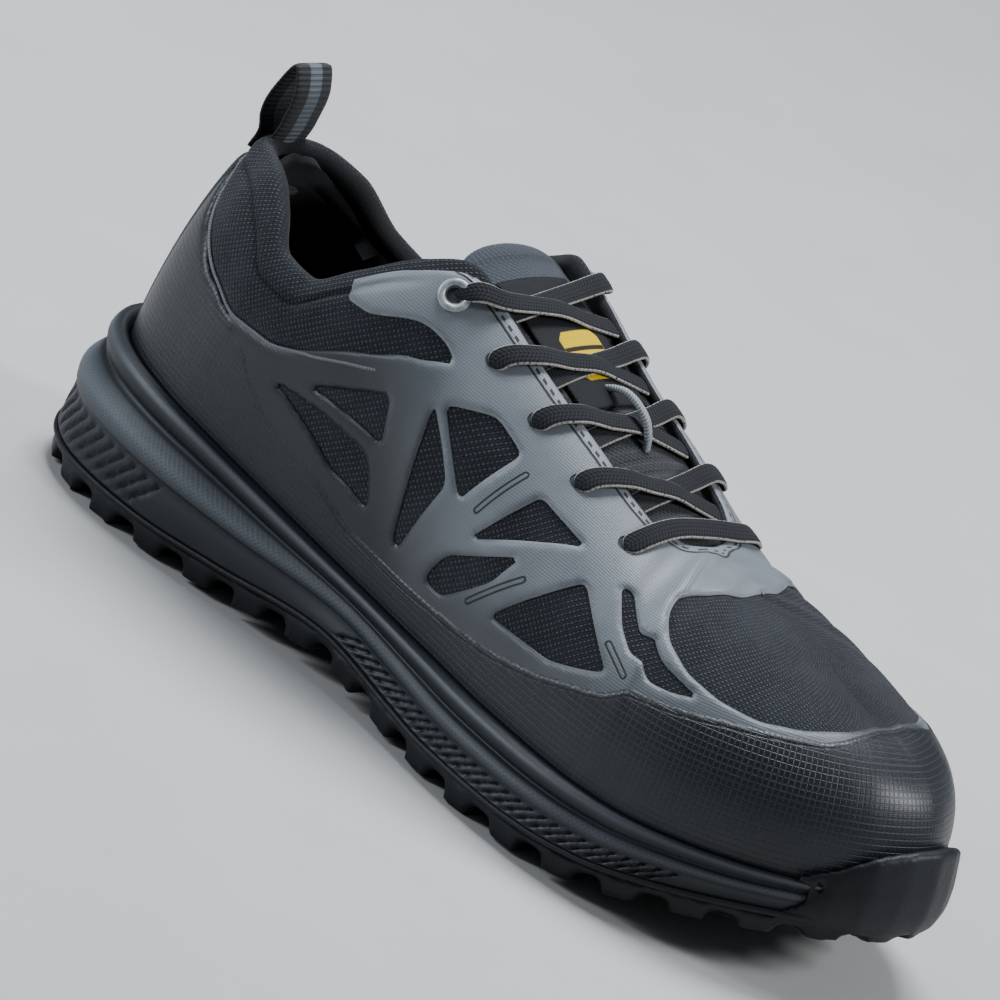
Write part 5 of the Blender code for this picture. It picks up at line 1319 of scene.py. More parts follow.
def midsole(finish):
    """The midsole's side as one band round the shoe, closed over and under.

    Each column runs through the named lines at its own heights and reaches, drawn smooth; the grooves between
    the ribs are narrow troughs that slant forward, cut between two of those lines.
    """
    shares = np.linspace(0, 1, 621)
    names = list(MIDSOLE_LINES)
    knots = np.arange(len(names))
    fine = np.unique(np.concatenate([np.linspace(0, len(names) - 1, 41), np.linspace(0.9, 2.1, 9)]))
    sides, marks = [], []
    for sign in (-1, 1):
        points, normal = plan(sign, shares)
        along = along_of(points[:, 0])
        foot = parting_line(along)
        height = sole_top(along) - foot
        levels = np.stack([station(MIDSOLE_LINES[n][0::2], along) for n in names], 1)
        reaches = np.stack([station(MIDSOLE_LINES[n][1::2], along) for n in names], 1) * MM
        low = np.minimum(fine.astype(int), len(names) - 2)
        t = (fine - low)[None, :]
        slope = np.gradient(reaches, axis=1)
        reach = (reaches[:, low] * (1 + 2 * t) * (1 - t) ** 2 + reaches[:, low + 1] * t * t * (3 - 2 * t)
                 + slope[:, low] * t * (1 - t) ** 2 - slope[:, low + 1] * t * t * (1 - t))
        level = levels[:, low] * (1 - t) + levels[:, low + 1] * t
        q = np.clip((fine - 1.0), 0, 1)[None, :]
        run = SIDE_RUN / MM
        groove = np.zeros(level.shape)
        for first, last, count in RIB_GROUPS:
            place = (shares[:, None] - RIB_SLANT * q - first) / (last - first) * (count - 1)
            off = np.abs(place - np.round(place)) * (last - first) / (count - 1) * run
            live = ease(-0.5, -0.3, place) * (1 - ease(count - 0.7, count - 0.5, place))
            groove = np.maximum(groove, (1 - ease(0.35, 1.15, off)) * live)
        span = ease(0.02, 0.10, q) * (1 - ease(0.90, 0.98, q)) * (fine[None, :] > 0.9) * (fine[None, :] < 2.1)
        groove = groove * span
        reach = reach - 1.3 * MM * groove
        xy = points[:, None] + normal[:, None] * reach[..., None]
        grid = np.concatenate([xy, (foot[:, None] + level * height[:, None])[..., None]], 2)
        lip_reach = UPPER_INSET * RIBS("inset", shares) - 2.1 * MM
        lip_xy = points - normal * lip_reach[:, None]
        lip = stack(lip_xy[:, 0], lip_xy[:, 1], sole_top(along_of(lip_xy[:, 0])))
        well = lip - [0, 0, FEATHER_DEPTH]
        crown = (grid[:, -1] + lip) / 2 + [0, 0, 0.25 * MM]
        sides.append(np.concatenate([grid, crown[:, None], lip[:, None], well[:, None]], 1))
        # The band's crest gets a painted highlight where it faces the light, stronger at the heel
        heel = 1 - ease(0.30, 0.44, shares)[:, None]
        crest = bell(fine[None, :] - 4.0, 0.9) * (0.5 + 0.3 * heel)
        band = np.concatenate([np.broadcast_to(crest, level.shape), np.zeros((len(shares), 3))], 1)
        # A painted highlight: a thin lighter line on the bead's crest, and lighter upper ends of the ribs
        lines = bell(fine[None, :] - 8.6, 0.55) * 0.8
        top_of_rib = span * (1 - groove) * 0.22 * bell(q - 0.9, 0.4)
        painted_highlight = np.maximum(np.broadcast_to(lines, level.shape), top_of_rib)
        bead_and_rib_highlight = np.concatenate([painted_highlight, np.zeros((len(shares), 3))], 1)
        up = np.concatenate([level * height[:, None], np.tile(height[:, None], 3)], 1)
        flat = np.stack([np.broadcast_to(shares[:, None] * SIDE_RUN, up.shape), up], -1)
        marks.append((band, bead_and_rib_highlight, flat))

    def join(lateral, medial):
        return np.concatenate([lateral, medial[-2:0:-1]])

    points = join(*sides)
    band, bead_and_rib_highlight, cloth = [join(marks[0][k], marks[1][k]) for k in range(3)]
    numbers = np.arange(points.shape[0] * points.shape[1]).reshape(points.shape[:2])
    faces = [grid_faces(numbers, True)]
    last = len(shares) - 1
    back = np.concatenate([numbers[:1], numbers[: last - 1 : -1]])
    for row in (0, -1):
        faces.append(grid_faces(np.stack([numbers[: last + 1, row], back[:, row]], 1)))
    return piece("midsole_side", points, faces, finish, "midsole_foam", cloth, {"band": band, "bead_and_rib_highlight": bead_and_rib_highlight},
                 ("midsole",))


def sole_line(offset, out, first=0.0, last=1.0, count=260):
    """A line on each side of the sole, that far above the parting line and out from the outline."""
    shares = np.linspace(first, last, count)
    sides = []
    for sign in (-1, 1):
        points, normal = plan(sign, shares)
        reach = station((-0.2, -1.6, -0.1, -2.2), along_of(points[:, 0])) * MM + out
        xy = points + normal * reach[:, None]
        level = parting_line(along_of(points[:, 0])) + offset
        sides.append((stack(xy[:, 0], xy[:, 1], level), stack(*normal.T, 0)))
    return sides


def tongue_form():
    """The tongue's upper face: control sections from its free end to the toe, five points across each."""
    sections = []
    for share in np.concatenate([np.arange(11, 21) * 0.035, [0.73]]):
        tucked = share > 0.69
        gap = (2.6 if tucked else 0.5) * MM
        rows = (0.75, 0.875) if tucked else (0.875, 1.0)
        deep = [(row, -(thickness(share, row) + gap)) for row in rows]
        sides = [[skin.at(sign, share, row, out) for row, out in deep] for sign in (-1, 1)]
        edges = np.array([sides[0][1], sides[1][1]])
        middle = edges.mean(0) + [0, 0, 0.07 * np.linalg.norm(edges[0] - edges[1])]
        if tucked:
            middle = skin.at(-1, share, 1.0, -(thickness(share, 1.0) + gap))
        sections.append([sides[0][0], sides[0][1], middle, sides[1][1], sides[1][0]])
    first = np.array(sections[0])
    for back, up, narrow in ((-2.6, 1.6, 0.90), (-5.2, 2.6, 0.76), (-7.4, 3.0, 0.50)):
        sections.insert(0, first[2] + (first - first[2]) * narrow + np.array([back, 0, up]) * MM)
    return np.array(sections)


def through(grid, places, axis):
    """A grid read at places along one axis, on a smooth curve through its points (Catmull-Rom)."""
    grid = np.moveaxis(grid, axis, 0)
    slope = np.gradient(grid, axis=0)
    low = np.minimum(places.astype(int), len(grid) - 2)
    t = (places - low).reshape(-1, *([1] * (grid.ndim - 1)))
    made = (grid[low] * (1 + 2 * t) * (1 - t) ** 2 + grid[low + 1] * t * t * (3 - 2 * t)
            + slope[low] * t * (1 - t) ** 2 - slope[low + 1] * t * t * (1 - t))
    return np.moveaxis(made, 0, axis)


class TongueFace:
    """The tongue's upper face on a fine grid, and points over it."""

    def __init__(self, long=120, wide=48):
        control = tongue_form()
        self.sections = len(control) - 1
        self.across = np.sin(np.linspace(-np.pi / 2, np.pi / 2, wide + 1))
        lengthwise = np.linspace(-1, 1, long + 1)
        self.lengthwise = np.sign(lengthwise) * (1 - (1 - np.abs(lengthwise)) ** 1.35)
        self.section = (self.lengthwise + 1) / 2 * self.sections
        grid = through(control, self.section, 0)
        self.points = through(grid, (self.across + 1) * 2, 1)
        self.normal = unit(np.cross(np.gradient(self.points, axis=0), np.gradient(self.points, axis=1)))

    def at(self, section, across, out=0.0):
        """Points over the face: section counted from the free end, across from -1 lateral to 1 medial."""
        section, across, out = np.broadcast_arrays(section, across, out)
        i = np.interp(section, self.section, np.arange(len(self.section)))
        j = np.interp(across, self.across, np.arange(len(self.across)))
        i0 = np.minimum(i.astype(int), len(self.section) - 2)
        j0 = np.minimum(j.astype(int), len(self.across) - 2)
        fi, fj = (i - i0)[..., None], (j - j0)[..., None]
        mixed = [(g[i0, j0] * (1 - fi) + g[i0 + 1, j0] * fi) * (1 - fj)
                 + (g[i0, j0 + 1] * (1 - fi) + g[i0 + 1, j0 + 1] * fi) * fj
                 for g in (self.points, self.normal)]
        return mixed[0] + unit(mixed[1]) * out[..., None]

    def above(self, x, across, out):
        """A point over the face at an x, from the section whose place has that x."""
        section = np.linspace(0, self.sections, 300)
        line = self.at(section, across)
        return self.at(np.interp(x, line[:, 0], section), across, out)

    def height(self, place):
        """Height of the face over a place in plan, from the four nearest points of its grid."""
        away = np.hypot(self.points[..., 0] - place[0], self.points[..., 1] - place[1]).ravel()
        near = np.argsort(away)[:4]
        weight = 1 / (away[near] + 0.05 * MM)
        return float((self.points[..., 2].ravel()[near] * weight).sum() / weight.sum())


tongue_face = TongueFace()


def padded_slab(name, points, normal, thick, finish, slot, nodes, cloth, values, firm=8):
    """A closed pad between two faces that meet at its edges.

    Each face lies half the thickness from the middle, times (1 - a^firm)^1/2 in both directions, where a runs
    from -1 to 1 across the pad.
    """
    a = np.linspace(-1, 1, points.shape[0])[:, None]
    b = np.linspace(-1, 1, points.shape[1])[None, :]
    swell = np.sqrt((1 - np.abs(a) ** firm) * (1 - np.abs(b) ** firm))
    middle = points - normal * (thick / 2)
    over = middle + normal * (thick / 2 * swell)[..., None]
    under = middle - normal * (thick / 2 * swell)[..., None]
    numbers = np.arange(over[..., 0].size).reshape(over.shape[:2])
    faces = [grid_faces(numbers), grid_faces(numbers)[:, ::-1] + numbers.size]
    both = {key: np.concatenate([value.ravel(), value.ravel()]) for key, value in values.items()}
    cloth = cloth.reshape(-1, 2)
    return piece(name, np.concatenate([over.reshape(-1, 3), under.reshape(-1, 3)]), faces, finish, slot,
                 np.concatenate([cloth, cloth]), both, nodes)


def run_lengths(points, axis):
    """Distance along a grid's lines, measured in its middle line."""
    middle = points.take(points.shape[1 - axis] // 2, axis=1 - axis)
    return np.concatenate([[0], np.cumsum(np.linalg.norm(np.diff(middle, axis=0), axis=1))])


# The lace lies just over the film, which stands that far above the skin
FILM_TOP = 1.0 * MM
# Shares of the step to the next eyelet at which each side's strands cross their edge of the throat, and at
# which they go under the far edge
LACE_LEAVE = {-1: 0.52, 1: 0.40}
LACE_DIVE = {-1: 1.10, 1: 0.66}
# How much nearer the toe the medial eyelets lie, as a share of the side
MEDIAL_SHIFT = 0.010


def hole_place(sign, row):
    """Share and row of an eyelet: on the medial side those below the ring sit a little nearer the toe."""
    share, height = EYELETS[row]
    return share + (MEDIAL_SHIFT if sign > 0 and row else 0.0), height


def lace_run(sign, row, level, thick):
    """Half a crossing: out of its hole, flat over the throat's edge and down under the far side.

    A smooth curve through: the hole, over the film beside it, the throat's edge, three places over the tongue
    and a place against the far edge. Over the tongue the height is the straight line's or the tongue's own
    with room for the lace, whichever is more; level lifts the middle where the strand lies on the other one.
    """
    share, height = hole_place(sign, row)
    step = EYELETS[row + 1][0] - EYELETS[row][0]
    stand = FILM_TOP + thick / 2 + 0.15 * MM
    leave = share + LACE_LEAVE[sign] * step
    dive = LACE_DIVE[sign]
    edge = skin.at(sign, leave, 1.0, stand + 0.1 * MM)
    if row == 0:
        start = skin.at(sign, share, height, 0.5 * MM)
        beside = skin.at(sign, share + 0.24 * step, height + 0.055, stand + 1.0 * MM)
    else:
        start = skin.at(sign, share, height - 0.025, FILM_TOP - 0.1 * MM)
        beside = skin.at(sign, share + 0.10 * step, height + 0.025, stand)
    far = skin.at(-sign, share + dive * step, 1.0)
    near = skin.at(sign, share + dive * step, 1.0)
    finish = far + unit(near - far) * 1.2 * MM
    finish[2] = max(far[2] - 1.2 * MM, tongue_face.height(finish) + thick / 2)
    stops = [start, beside, edge]
    for along, part in ((0.28, 0.55), (0.5, 1.0), (0.74, 0.35)):
        place = edge * (1 - along) + finish * along
        place[2] = max(place[2], tongue_face.height(place) + thick / 2 + 0.2 * MM) + level * part
        stops.append(place)
    path = open_curve(stops + [finish], 90)
    length = np.concatenate([[0], np.cumsum(np.linalg.norm(np.diff(path, axis=0), axis=1))])
    marks = [0, np.linalg.norm(edge - start), 0.5 * length[-1], length[-1]]
    at_hole, at_edge = skin.up(sign, share, height), skin.up(sign, leave, 1.0)
    top = unit(np.array([0.35, 0, 1.0]))
    ways = [at_hole, unit(at_edge + top), top, unit(top + skin.up(-sign, share + dive * step, 1.0))]
    return path, unit(np.stack([np.interp(length, marks, [way[k] for way in ways]) for k in range(3)], 1))


def crossing(row, width, thick, finish):
    """Two strands over the tongue: the medial one below, and the lateral one lifted over it."""
    parts = [
        lace_run(1, row, 0.0, thick),
        lace_run(-1, row, thick + 0.1 * MM, thick),
    ]
    name = "lace_crossing_%d" % (row + 1)
    begin = (0.62, 7 * MM, True, False) if row == 0 else (1.0, 1 * MM, True, False)
    return carry(name + "_woven", None, None, oval(width, thick), finish, "lace", (name,), parts=parts,
                 ends=[begin, begin])


def bar(width, thick, finish):
    """The straight lace across the throat's end, from hole to hole, with both ends round."""
    last = len(EYELETS) - 1
    stand = FILM_TOP + thick / 2 + 0.15 * MM
    stops, ups = [], []
    for sign in (-1, 1):
        share, height = hole_place(sign, last)
        over = share + 0.030
        side = [skin.at(sign, share, height - 0.02, FILM_TOP - 0.1 * MM),
                skin.at(sign, share + 0.010, height + 0.045, stand),
                skin.at(sign, over, 1.0, stand + 0.1 * MM)]
        turned = [skin.up(sign, share, height - 0.02), skin.up(sign, share, height),
                  skin.up(sign, over, 1.0)]
        stops.extend(side if sign < 0 else side[::-1])
        ups.extend(turned if sign < 0 else turned[::-1])
    stops.insert(3, (stops[2] + stops[3]) / 2 + [0, 0, 0.6 * MM])
    ups.insert(3, unit(ups[2] + ups[3]))
    path = open_curve(stops, 90)
    stops = np.array(stops)
    marks = np.concatenate([[0], np.cumsum(np.linalg.norm(np.diff(stops, axis=0), axis=1))])
    at = np.linspace(0, marks[-1], len(path))
    upward = unit(np.stack([np.interp(at, marks, np.array(ups)[:, k]) for k in range(3)], 1))
    return carry("lace_bar_woven", path, upward, oval(width, thick), finish, "lace", ("lace_bar",),
                 ends=[(1.0, 1 * MM, True, True)])


def keeper(finish):
    """The cord arch along the tongue's middle, over the third crossing."""
    beyond_third = 0.60
    share = EYELETS[2][0] + beyond_third * (EYELETS[3][0] - EYELETS[2][0])
    edges = [skin.at(sign, share, 1.0) for sign in (-1, 1)]
    x = (edges[0][0] + edges[1][0]) / 2
    half = 9.5 * MM
    profile = ((-1.0, 0.4), (-0.82, 2.6), (-0.5, 5.0), (0.0, 5.9), (0.5, 5.0), (0.82, 2.6), (1.0, 0.4))
    places = [tongue_face.above(x + along * half, 0.0, up * MM) for along, up in profile]
    path = open_curve(places, 60)
    upward = np.tile([0.3, 0, 1.0], (len(path), 1))
    return carry("lace_keeper_cord", path, upward, oval(2.4 * MM, 1.9 * MM, 16, 0.9), finish, "keeper_cord",
                 ("lace_keeper",))


# The eyelet ring's radius to the middle of its section, and half that section's width and height
RING_RADIUS = 3.65 * MM
RING_HALF_WIDTH = 1.05 * MM
RING_HALF_HEIGHT = 0.75 * MM


def eyelet(sign, name, finish):
    """A rolled ring on the top eyelet: an oval section turned about the skin's normal."""
    share, row = EYELETS[0]
    middle = skin.at(sign, share, row, FILM_TOP - 0.1 * MM)
    normal = skin.up(sign, share, row)
    first = unit(skin.at(sign, share + 0.01, row) - skin.at(sign, share - 0.01, row))
    second = np.cross(normal, first)
    angle = np.linspace(0, 2 * np.pi, 64, endpoint=False)[:, None]
    turn = np.linspace(0, 2 * np.pi, 16, endpoint=False)[None, :]
    radius = RING_RADIUS + RING_HALF_WIDTH * np.cos(turn)
    height = 0.35 * MM + RING_HALF_HEIGHT * np.sin(turn)
    points = middle + (radius * np.cos(angle))[..., None] * first
    points = points + (radius * np.sin(angle))[..., None] * second
    points = points + np.broadcast_to(height, points.shape[:2])[..., None] * normal
    numbers = np.arange(points[..., 0].size).reshape(points.shape[:2])
    numbers = np.concatenate([numbers, numbers[:, :1]], 1)
    faces = [grid_faces(numbers, True)]
    return piece(name + "_ring", points, faces, finish, "eyelet_metal", None, None, (name,))


LOOP_WIDTH = 15 * MM
LOOP_THICKNESS = 1.6 * MM


def pull_loop(finish):
    """Webbing up the back of the heel, over in an arch and down inside the collar."""
    half = LOOP_THICKNESS / 2
    outer = [skin.at(-1, 0.0, 0.875 + up * 0.125, 0.6 * MM + half) for up in (0.0, 0.8)]
    inner = [skin.at(-1, 0.0, row, -(thickness(0.0, row) + 3.0 * MM + half)) for row in (1.0, 0.875)]
    middle = (outer[1] + inner[0]) / 2
    rim = middle[2] + 0.35 * thickness(0.0, 1.0)
    curve = ((-3.4, 0.30), (-1.8, 0.74), (1.4, 1.0), (4.2, 0.78), (4.2, 0.34))
    arch = [[middle[0] + out * MM, middle[1], rim + up * LOOP_HEIGHT] for out, up in curve]
    path = open_curve([*outer, *arch, *inner], 90)
    way = unit(np.gradient(path, axis=0))
    webbing = oval(LOOP_WIDTH, LOOP_THICKNESS, 28, 0.35)
    return carry("pull_loop_webbing", path, np.cross(way, [0, 1.0, 0]), webbing, finish, "webbing",
                 ("pull_loop",))


def colour(name, default, description):
    return FloatVectorProperty(name=name, description=description, default=default, subtype="COLOR",
                               min=0, max=1)


class SneakerSizes(bpy.types.PropertyGroup):
    lace_width: FloatProperty(name="Lace width", description="Width of the flat lace", default=6.2 * MM,
                              unit="LENGTH")
    lace_thickness: FloatProperty(name="Lace thickness", description="Thickness of the flat lace",
                                  default=1.5 * MM, unit="LENGTH")
    film_rise: FloatProperty(name="Film rise", description="How far the cage's film stands above the knit",
                             default=0.8 * MM, unit="LENGTH")
    guard_rise: FloatProperty(name="Mudguard rise", description="How far the mudguard stands above the knit",
                              default=1.3 * MM, unit="LENGTH")
    piping_radius: FloatProperty(name="Piping radius", description="Radius of the cord in the collar's seam",
                                 default=0.55 * MM, unit="LENGTH")


class SneakerColours(bpy.types.PropertyGroup):
    knit: colour("Knit", (0.009, 0.0105, 0.014), "Ground of the knit")
    dots: colour("Knit loops", (0.066, 0.073, 0.092), "Light loops of the knit")
    film: colour("Film", (0.128, 0.146, 0.166), "Film of the cage")
    guard: colour("Mudguard", (0.008, 0.0105, 0.0145), "Film of the mudguard")
    foam: colour("Midsole", (0.006, 0.008, 0.011), "Foam of the midsole")
    rubber: colour("Outsole", (0.005, 0.0062, 0.0085), "Rubber of the outsole")
    lace: colour("Lace", (0.007, 0.0075, 0.009), "Ground of the lace")
    lace_edge: colour("Lace edge", (0.42, 0.40, 0.36), "Pale threads along the lace's edges")
    tongue: colour("Tongue", (0.045, 0.054, 0.070), "Fuzzy knit at the tongue's top")
    label: colour("Label", (0.80, 0.52, 0.0), "Plain tab on the tongue's patch")
    cord: colour("Keeper", (0.36, 0.39, 0.41), "Cord of the lace keeper")
    ring: colour("Eyelet", (0.40, 0.43, 0.45), "Painted ring of the top eyelets")
    stripe: colour("Stripe", (0.13, 0.155, 0.18), "Middle stripe of the pull loop")


def sizes():
    return bpy.context.scene.sneaker_sizes


def colours():
    return bpy.context.scene.sneaker_colours


class Piece:
    bl_options = {"REGISTER", "UNDO"}


class SNEAKER_OT_sole(Piece, bpy.types.Operator):
    """Make the midsole's side, and finish the outsole, its bumper and the footbed"""

    bl_idname = "sneaker.sole"
    bl_label = "Sole"

    def execute(self, context):
        midsole(foam_finish(tuple(colours().foam)))
        rubber = rubber_finish(tuple(colours().rubber))
        merged_copy("outsole", "outsole_rubber", rubber, "outsole_rubber", 1.2 * MM, 5)
        ring = oval(1.5 * MM, 1.3 * MM, 12, 1.0)
        lines = sole_line(0.3 * MM, 0.25 * MM, 0.0, 0.93)
        carry("outsole_lip", None, None, ring, rubber, "outsole_rubber", parts=lines)
        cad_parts["insole"].data.materials.clear()
        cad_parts["insole"].data.materials.append(lining_finish())
        return {"FINISHED"}


class SNEAKER_OT_upper(Piece, bpy.types.Operator):
    """Make the knitted shell with its padded collar and lining"""

    bl_idname = "sneaker.upper"
    bl_label = "Knit upper"

    def execute(self, context):
        knit_upper(knit_finish(tuple(colours().knit), tuple(colours().dots)))
        return {"FINISHED"}


class SNEAKER_OT_films(Piece, bpy.types.Operator):
    """Make the cage, the mudguard, the heel counter and the collar's piping"""

    bl_idname = "sneaker.films"
    bl_label = "Films"

    def execute(self, context):
        film = film_finish(tuple(colours().film))
        guard = guard_finish(tuple(colours().guard))
        slot_across, slot_past, slot_near = slot_marks()
        throat_line = [(share, 1.0) for share in np.linspace(0.385, THROAT_END, 60)]
        throat = skin_field(mirrored(throat_line)) / MM
        centres = [skin.at(sign, *hole_place(sign, row)) for sign in (-1, 1) for row in range(len(EYELETS))]
        hole = np.min([np.linalg.norm(skin.points - centre, axis=2) for centre in centres], 0) / MM
        # shade darkens the film towards the heel, the sole and the toe: partly the film's own darker tone,
        # partly painted shade on the lower and rear sides, which face away from the overhead light
        shade = 1 - ease(0.33, 0.485, skin.along + 0.18 * (skin.row - 0.6))
        shade = shade * (1 - ease(0.70, 0.80, skin.row))
        low = 1 - ease(0.02, 0.26, skin.row - guard_row(skin.share)[:, None])
        shade = np.maximum(shade, 0.75 * low * (1 - 0.5 * ease(0.55, 0.75, skin.along)))
        shade = np.maximum(shade, 0.9 * ease(0.86, 0.93, skin.along))
        marks = {"slot_across": slot_across, "slot_past": slot_past, "slot_near": slot_near, "throat": throat,
                 "hole": hole, "shade": shade}
        inside, outlines = cage_field()
        layer("cage_film", inside, sizes().film_rise, film, "ripstop_film", ("cage",), marks, outlines)
        counter_side = (COUNTER_SHARE - skin.along) * SIDE_RUN
        below, guard_line = guard_field()
        rise = sizes().guard_rise * (0.68 + 0.32 * ease(0.32, 0.42, skin.along))
        # front: 1 in front of the heel, where the mudguard's edge shows its painted highlight and its stitch
        # line
        front = {"front": ease(0.33, 0.37, skin.along)}
        below = np.minimum(below, -counter_side - 0.4 * MM)
        layer("mudguard_film", below, rise, guard, "dark_film", ("mudguard",), front, guard_line)
        counter = np.minimum(counter_side, (COUNTER_ROW - skin.row) * skin.climb[:, -1:])
        corners = [(COUNTER_SHARE, 0.0), (COUNTER_SHARE, COUNTER_ROW), (0.0, COUNTER_ROW)]
        counter_line = mirrored(corners)
        layer("heel_counter_film", counter, sizes().guard_rise, guard, "dark_film", ("heel_counter",), front,
              counter_line)
        piping = cord_finish("collar_piping", (0.17, 0.185, 0.205), 0.45)
        line = rounded(PANEL_LINE[1:], 8 * MM, False)
        parts = []
        for sign in (-1, 1):
            chain = open_curve(skin.along_line(sign, line, 0.5 * MM), 160)
            way = unit(np.gradient(chain, axis=0))
            parts.append((chain, unit(np.cross(way, [0.2, sign * 1.0, 0.1]))))
        across = 2 * sizes().piping_radius
        carry("collar_piping", None, None, oval(across, across, 10, 1.0), piping, "ripstop_film", parts=parts)
        return {"FINISHED"}


class SNEAKER_OT_tongue(Piece, bpy.types.Operator):
    """Make the padded tongue and its label"""

    bl_idname = "sneaker.tongue"
    bl_label = "Tongue and label"

    def execute(self, context):
        face = tongue_face
        wide = run_lengths(face.points, 1)
        long = run_lengths(face.points, 0)
        cloth = np.stack(np.broadcast_arrays((wide - wide[-1] / 2)[None, :], long[:, None]), -1)
        lobe = np.broadcast_to(1 - ease(3.6, 3.9, face.section)[:, None], face.points.shape[:2])
        cover = tongue_finish(tuple(colours().tongue))
        made = padded_slab("tongue_pad", face.points, face.normal, TONGUE_THICKNESS, cover, "knit_mesh",
                           ("tongue",), cloth, {"lobe": lobe})
        section = np.linspace(3.6, 7.3, 48)[:, None]
        across = np.linspace(-0.36, 0.36, 32)[None, :]
        base = face.at(section, across, 1.1 * MM)
        normal = unit(face.at(section, across, 2 * MM) - base)
        wide = run_lengths(base, 1)
        long = run_lengths(base, 0)
        cloth = np.stack(np.broadcast_arrays((wide - wide[-1] / 2)[None, :], long[:, None]), -1)
        woven = label_finish(tuple(colours().label))
        padded_slab("tongue_label_patch", base, normal, 0.9 * MM, woven, "label_yellow", ("tongue_label",),
                    cloth, {}, 24)
        return {"FINISHED"}


class SNEAKER_OT_laces(Piece, bpy.types.Operator):
    """Make the lace's crossings and bar, the keeper, the eyelet rings and the pull loop"""

    bl_idname = "sneaker.laces"
    bl_label = "Laces, rings and loop"

    def execute(self, context):
        lace = lace_finish(tuple(colours().lace), tuple(colours().lace_edge))
        width, thick = sizes().lace_width, sizes().lace_thickness
        for row in range(len(EYELETS) - 1):
            crossing(row, width, thick, lace)
        bar(width, thick, lace)
        keeper(cord_finish("keeper_cord", tuple(colours().cord)))
        ring = ring_finish(tuple(colours().ring))
        eyelet(-1, "eyelet_lateral", ring)
        eyelet(1, "eyelet_medial", ring)
        pull_loop(webbing_finish(tuple(colours().stripe)))
        return {"FINISHED"}


class SNEAKER_OT_stage(Piece, bpy.types.Operator):
    """Make the floor, the lights and the camera"""

    bl_idname = "sneaker.stage"
    bl_label = "Stage"

    def execute(self, context):
        scene = bpy.context.scene
        mesh = bpy.data.meshes.new("floor")
        far = FLOOR_HALF
        corners = [(-far, -far, 0), (far, -far, 0), (far, far, 0), (-far, far, 0)]
        mesh.from_pydata(corners, [], [(0, 1, 2, 3)])
        floor = bpy.data.objects.new("floor", mesh)
        paint = Finish("floor_paint", 0.75)
        cloud = paint.noise(60.0)
        mesh.materials.append(paint.cover(paint.mix(cloud, (0.46, 0.455, 0.445), (0.52, 0.515, 0.505))))
        scene.collection.objects.link(floor)
        world = bpy.data.worlds.new("studio")
        world.use_nodes = True
        world.node_tree.nodes["Background"].inputs["Color"].default_value = (0.80, 0.86, 0.95, 1)
        world.node_tree.nodes["Background"].inputs["Strength"].default_value = 0.15
        scene.world = world
        for name, place, aim, size, power, tint in LIGHTS:
            light = bpy.data.lights.new(name, "AREA")
            light.shape = "RECTANGLE"
            light.size, light.size_y = size
            light.energy = power
            light.color = tint
            lamp = bpy.data.objects.new(name, light)
            lamp.location = place
            lamp.rotation_euler = (Vector(aim) - Vector(place)).to_track_quat("-Z", "Y").to_euler()
            scene.collection.objects.link(lamp)
        around, above, roll = np.radians(VIEW_ANGLES)
        back = Vector((np.sin(around) * np.cos(above), -np.cos(around) * np.cos(above), np.sin(above)))
        right = Vector((np.cos(around), np.sin(around), 0))
        up = back.cross(right)
        across = np.cos(roll) * right + np.sin(roll) * up
        over = -np.sin(roll) * right + np.cos(roll) * up
        view = bpy.data.cameras.new("camera")
        view.lens = VIEW_LENS
        view.clip_start, view.clip_end = 0.1, 50
        camera = bpy.data.objects.new("camera", view)
        place = Vector(VIEW_AIM) + back * VIEW_DISTANCE
        camera.matrix_world = Matrix.Translation(place) @ Matrix((across, over, back)).transposed().to_4x4()
        scene.collection.objects.link(camera)
        scene.camera = camera
        return {"FINISHED"}


# Half the floor's side
FLOOR_HALF = 6.0
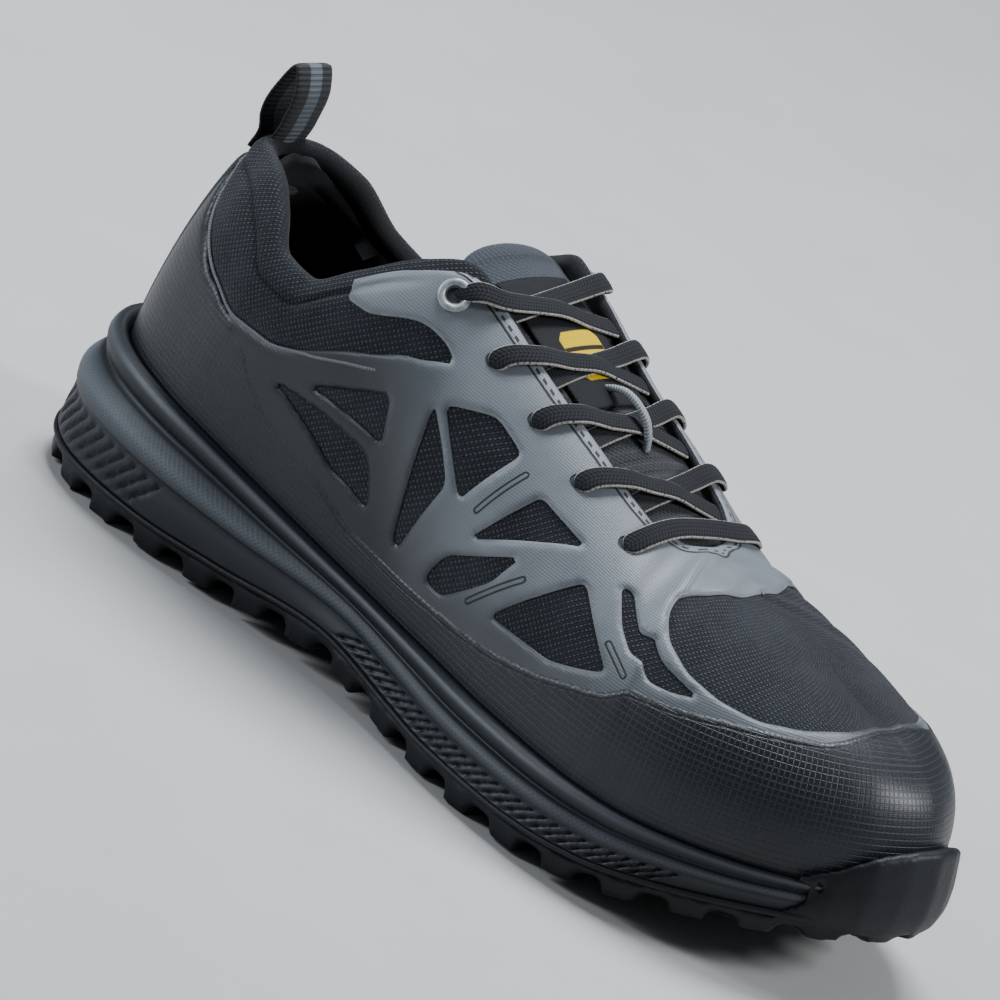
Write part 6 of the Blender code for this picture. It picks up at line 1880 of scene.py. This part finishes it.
# The camera's degrees round from the lateral side, above the floor and of roll, its lens in mm, the point
# that it aims at and its distance
VIEW_ANGLES = (32.2, 19.5, 23.8)
VIEW_LENS = 330.6
VIEW_AIM = (-0.0164, 0.0, 0.0564)
VIEW_DISTANCE = 2.430

# Name, place, what it points at, width and height, power and tint
LIGHTS = (
    ("overhead", (-0.35, 0.35, 1.5), (0, 0, 0.05), (0.8, 0.55), 38, (0.90, 0.95, 1.0)),
    ("heel_side", (-1.2, -0.9, 0.8), (-0.05, 0, 0.05), (0.3, 0.8), 17, (0.86, 0.93, 1.0)),
    ("toe_rim", (1.1, 0.6, 0.9), (0.1, 0, 0.05), (0.35, 0.35), 17, (0.95, 0.97, 1.0)),
)

OPERATORS = (
    SNEAKER_OT_stage,
    SNEAKER_OT_sole,
    SNEAKER_OT_upper,
    SNEAKER_OT_films,
    SNEAKER_OT_tongue,
    SNEAKER_OT_laces,
)


class SNEAKER_PT_panel(bpy.types.Panel):
    """The sneaker's sizes, colours and pieces"""

    bl_idname = "SNEAKER_PT_panel"
    bl_label = "Safety sneaker"
    bl_space_type = "VIEW_3D"
    bl_region_type = "UI"
    bl_category = "Sneaker"

    def draw(self, context):
        for group in (context.scene.sneaker_sizes, context.scene.sneaker_colours):
            for key in group.__annotations__:
                self.layout.prop(group, key)
        for operator in OPERATORS:
            self.layout.operator(operator.bl_idname)


CLASSES = (SneakerSizes, SneakerColours, *OPERATORS, SNEAKER_PT_panel)


def register():
    for item in CLASSES:
        bpy.utils.register_class(item)
    bpy.types.Scene.sneaker_sizes = PointerProperty(type=SneakerSizes)
    bpy.types.Scene.sneaker_colours = PointerProperty(type=SneakerColours)


def unregister():
    del bpy.types.Scene.sneaker_colours
    del bpy.types.Scene.sneaker_sizes
    for item in reversed(CLASSES):
        bpy.utils.unregister_class(item)


def main():
    register()
    bpy.ops.sneaker.stage()
    bpy.ops.sneaker.sole()
    bpy.ops.sneaker.upper()
    bpy.ops.sneaker.films()
    bpy.ops.sneaker.tongue()
    bpy.ops.sneaker.laces()


if __name__ == "__main__":
    main()
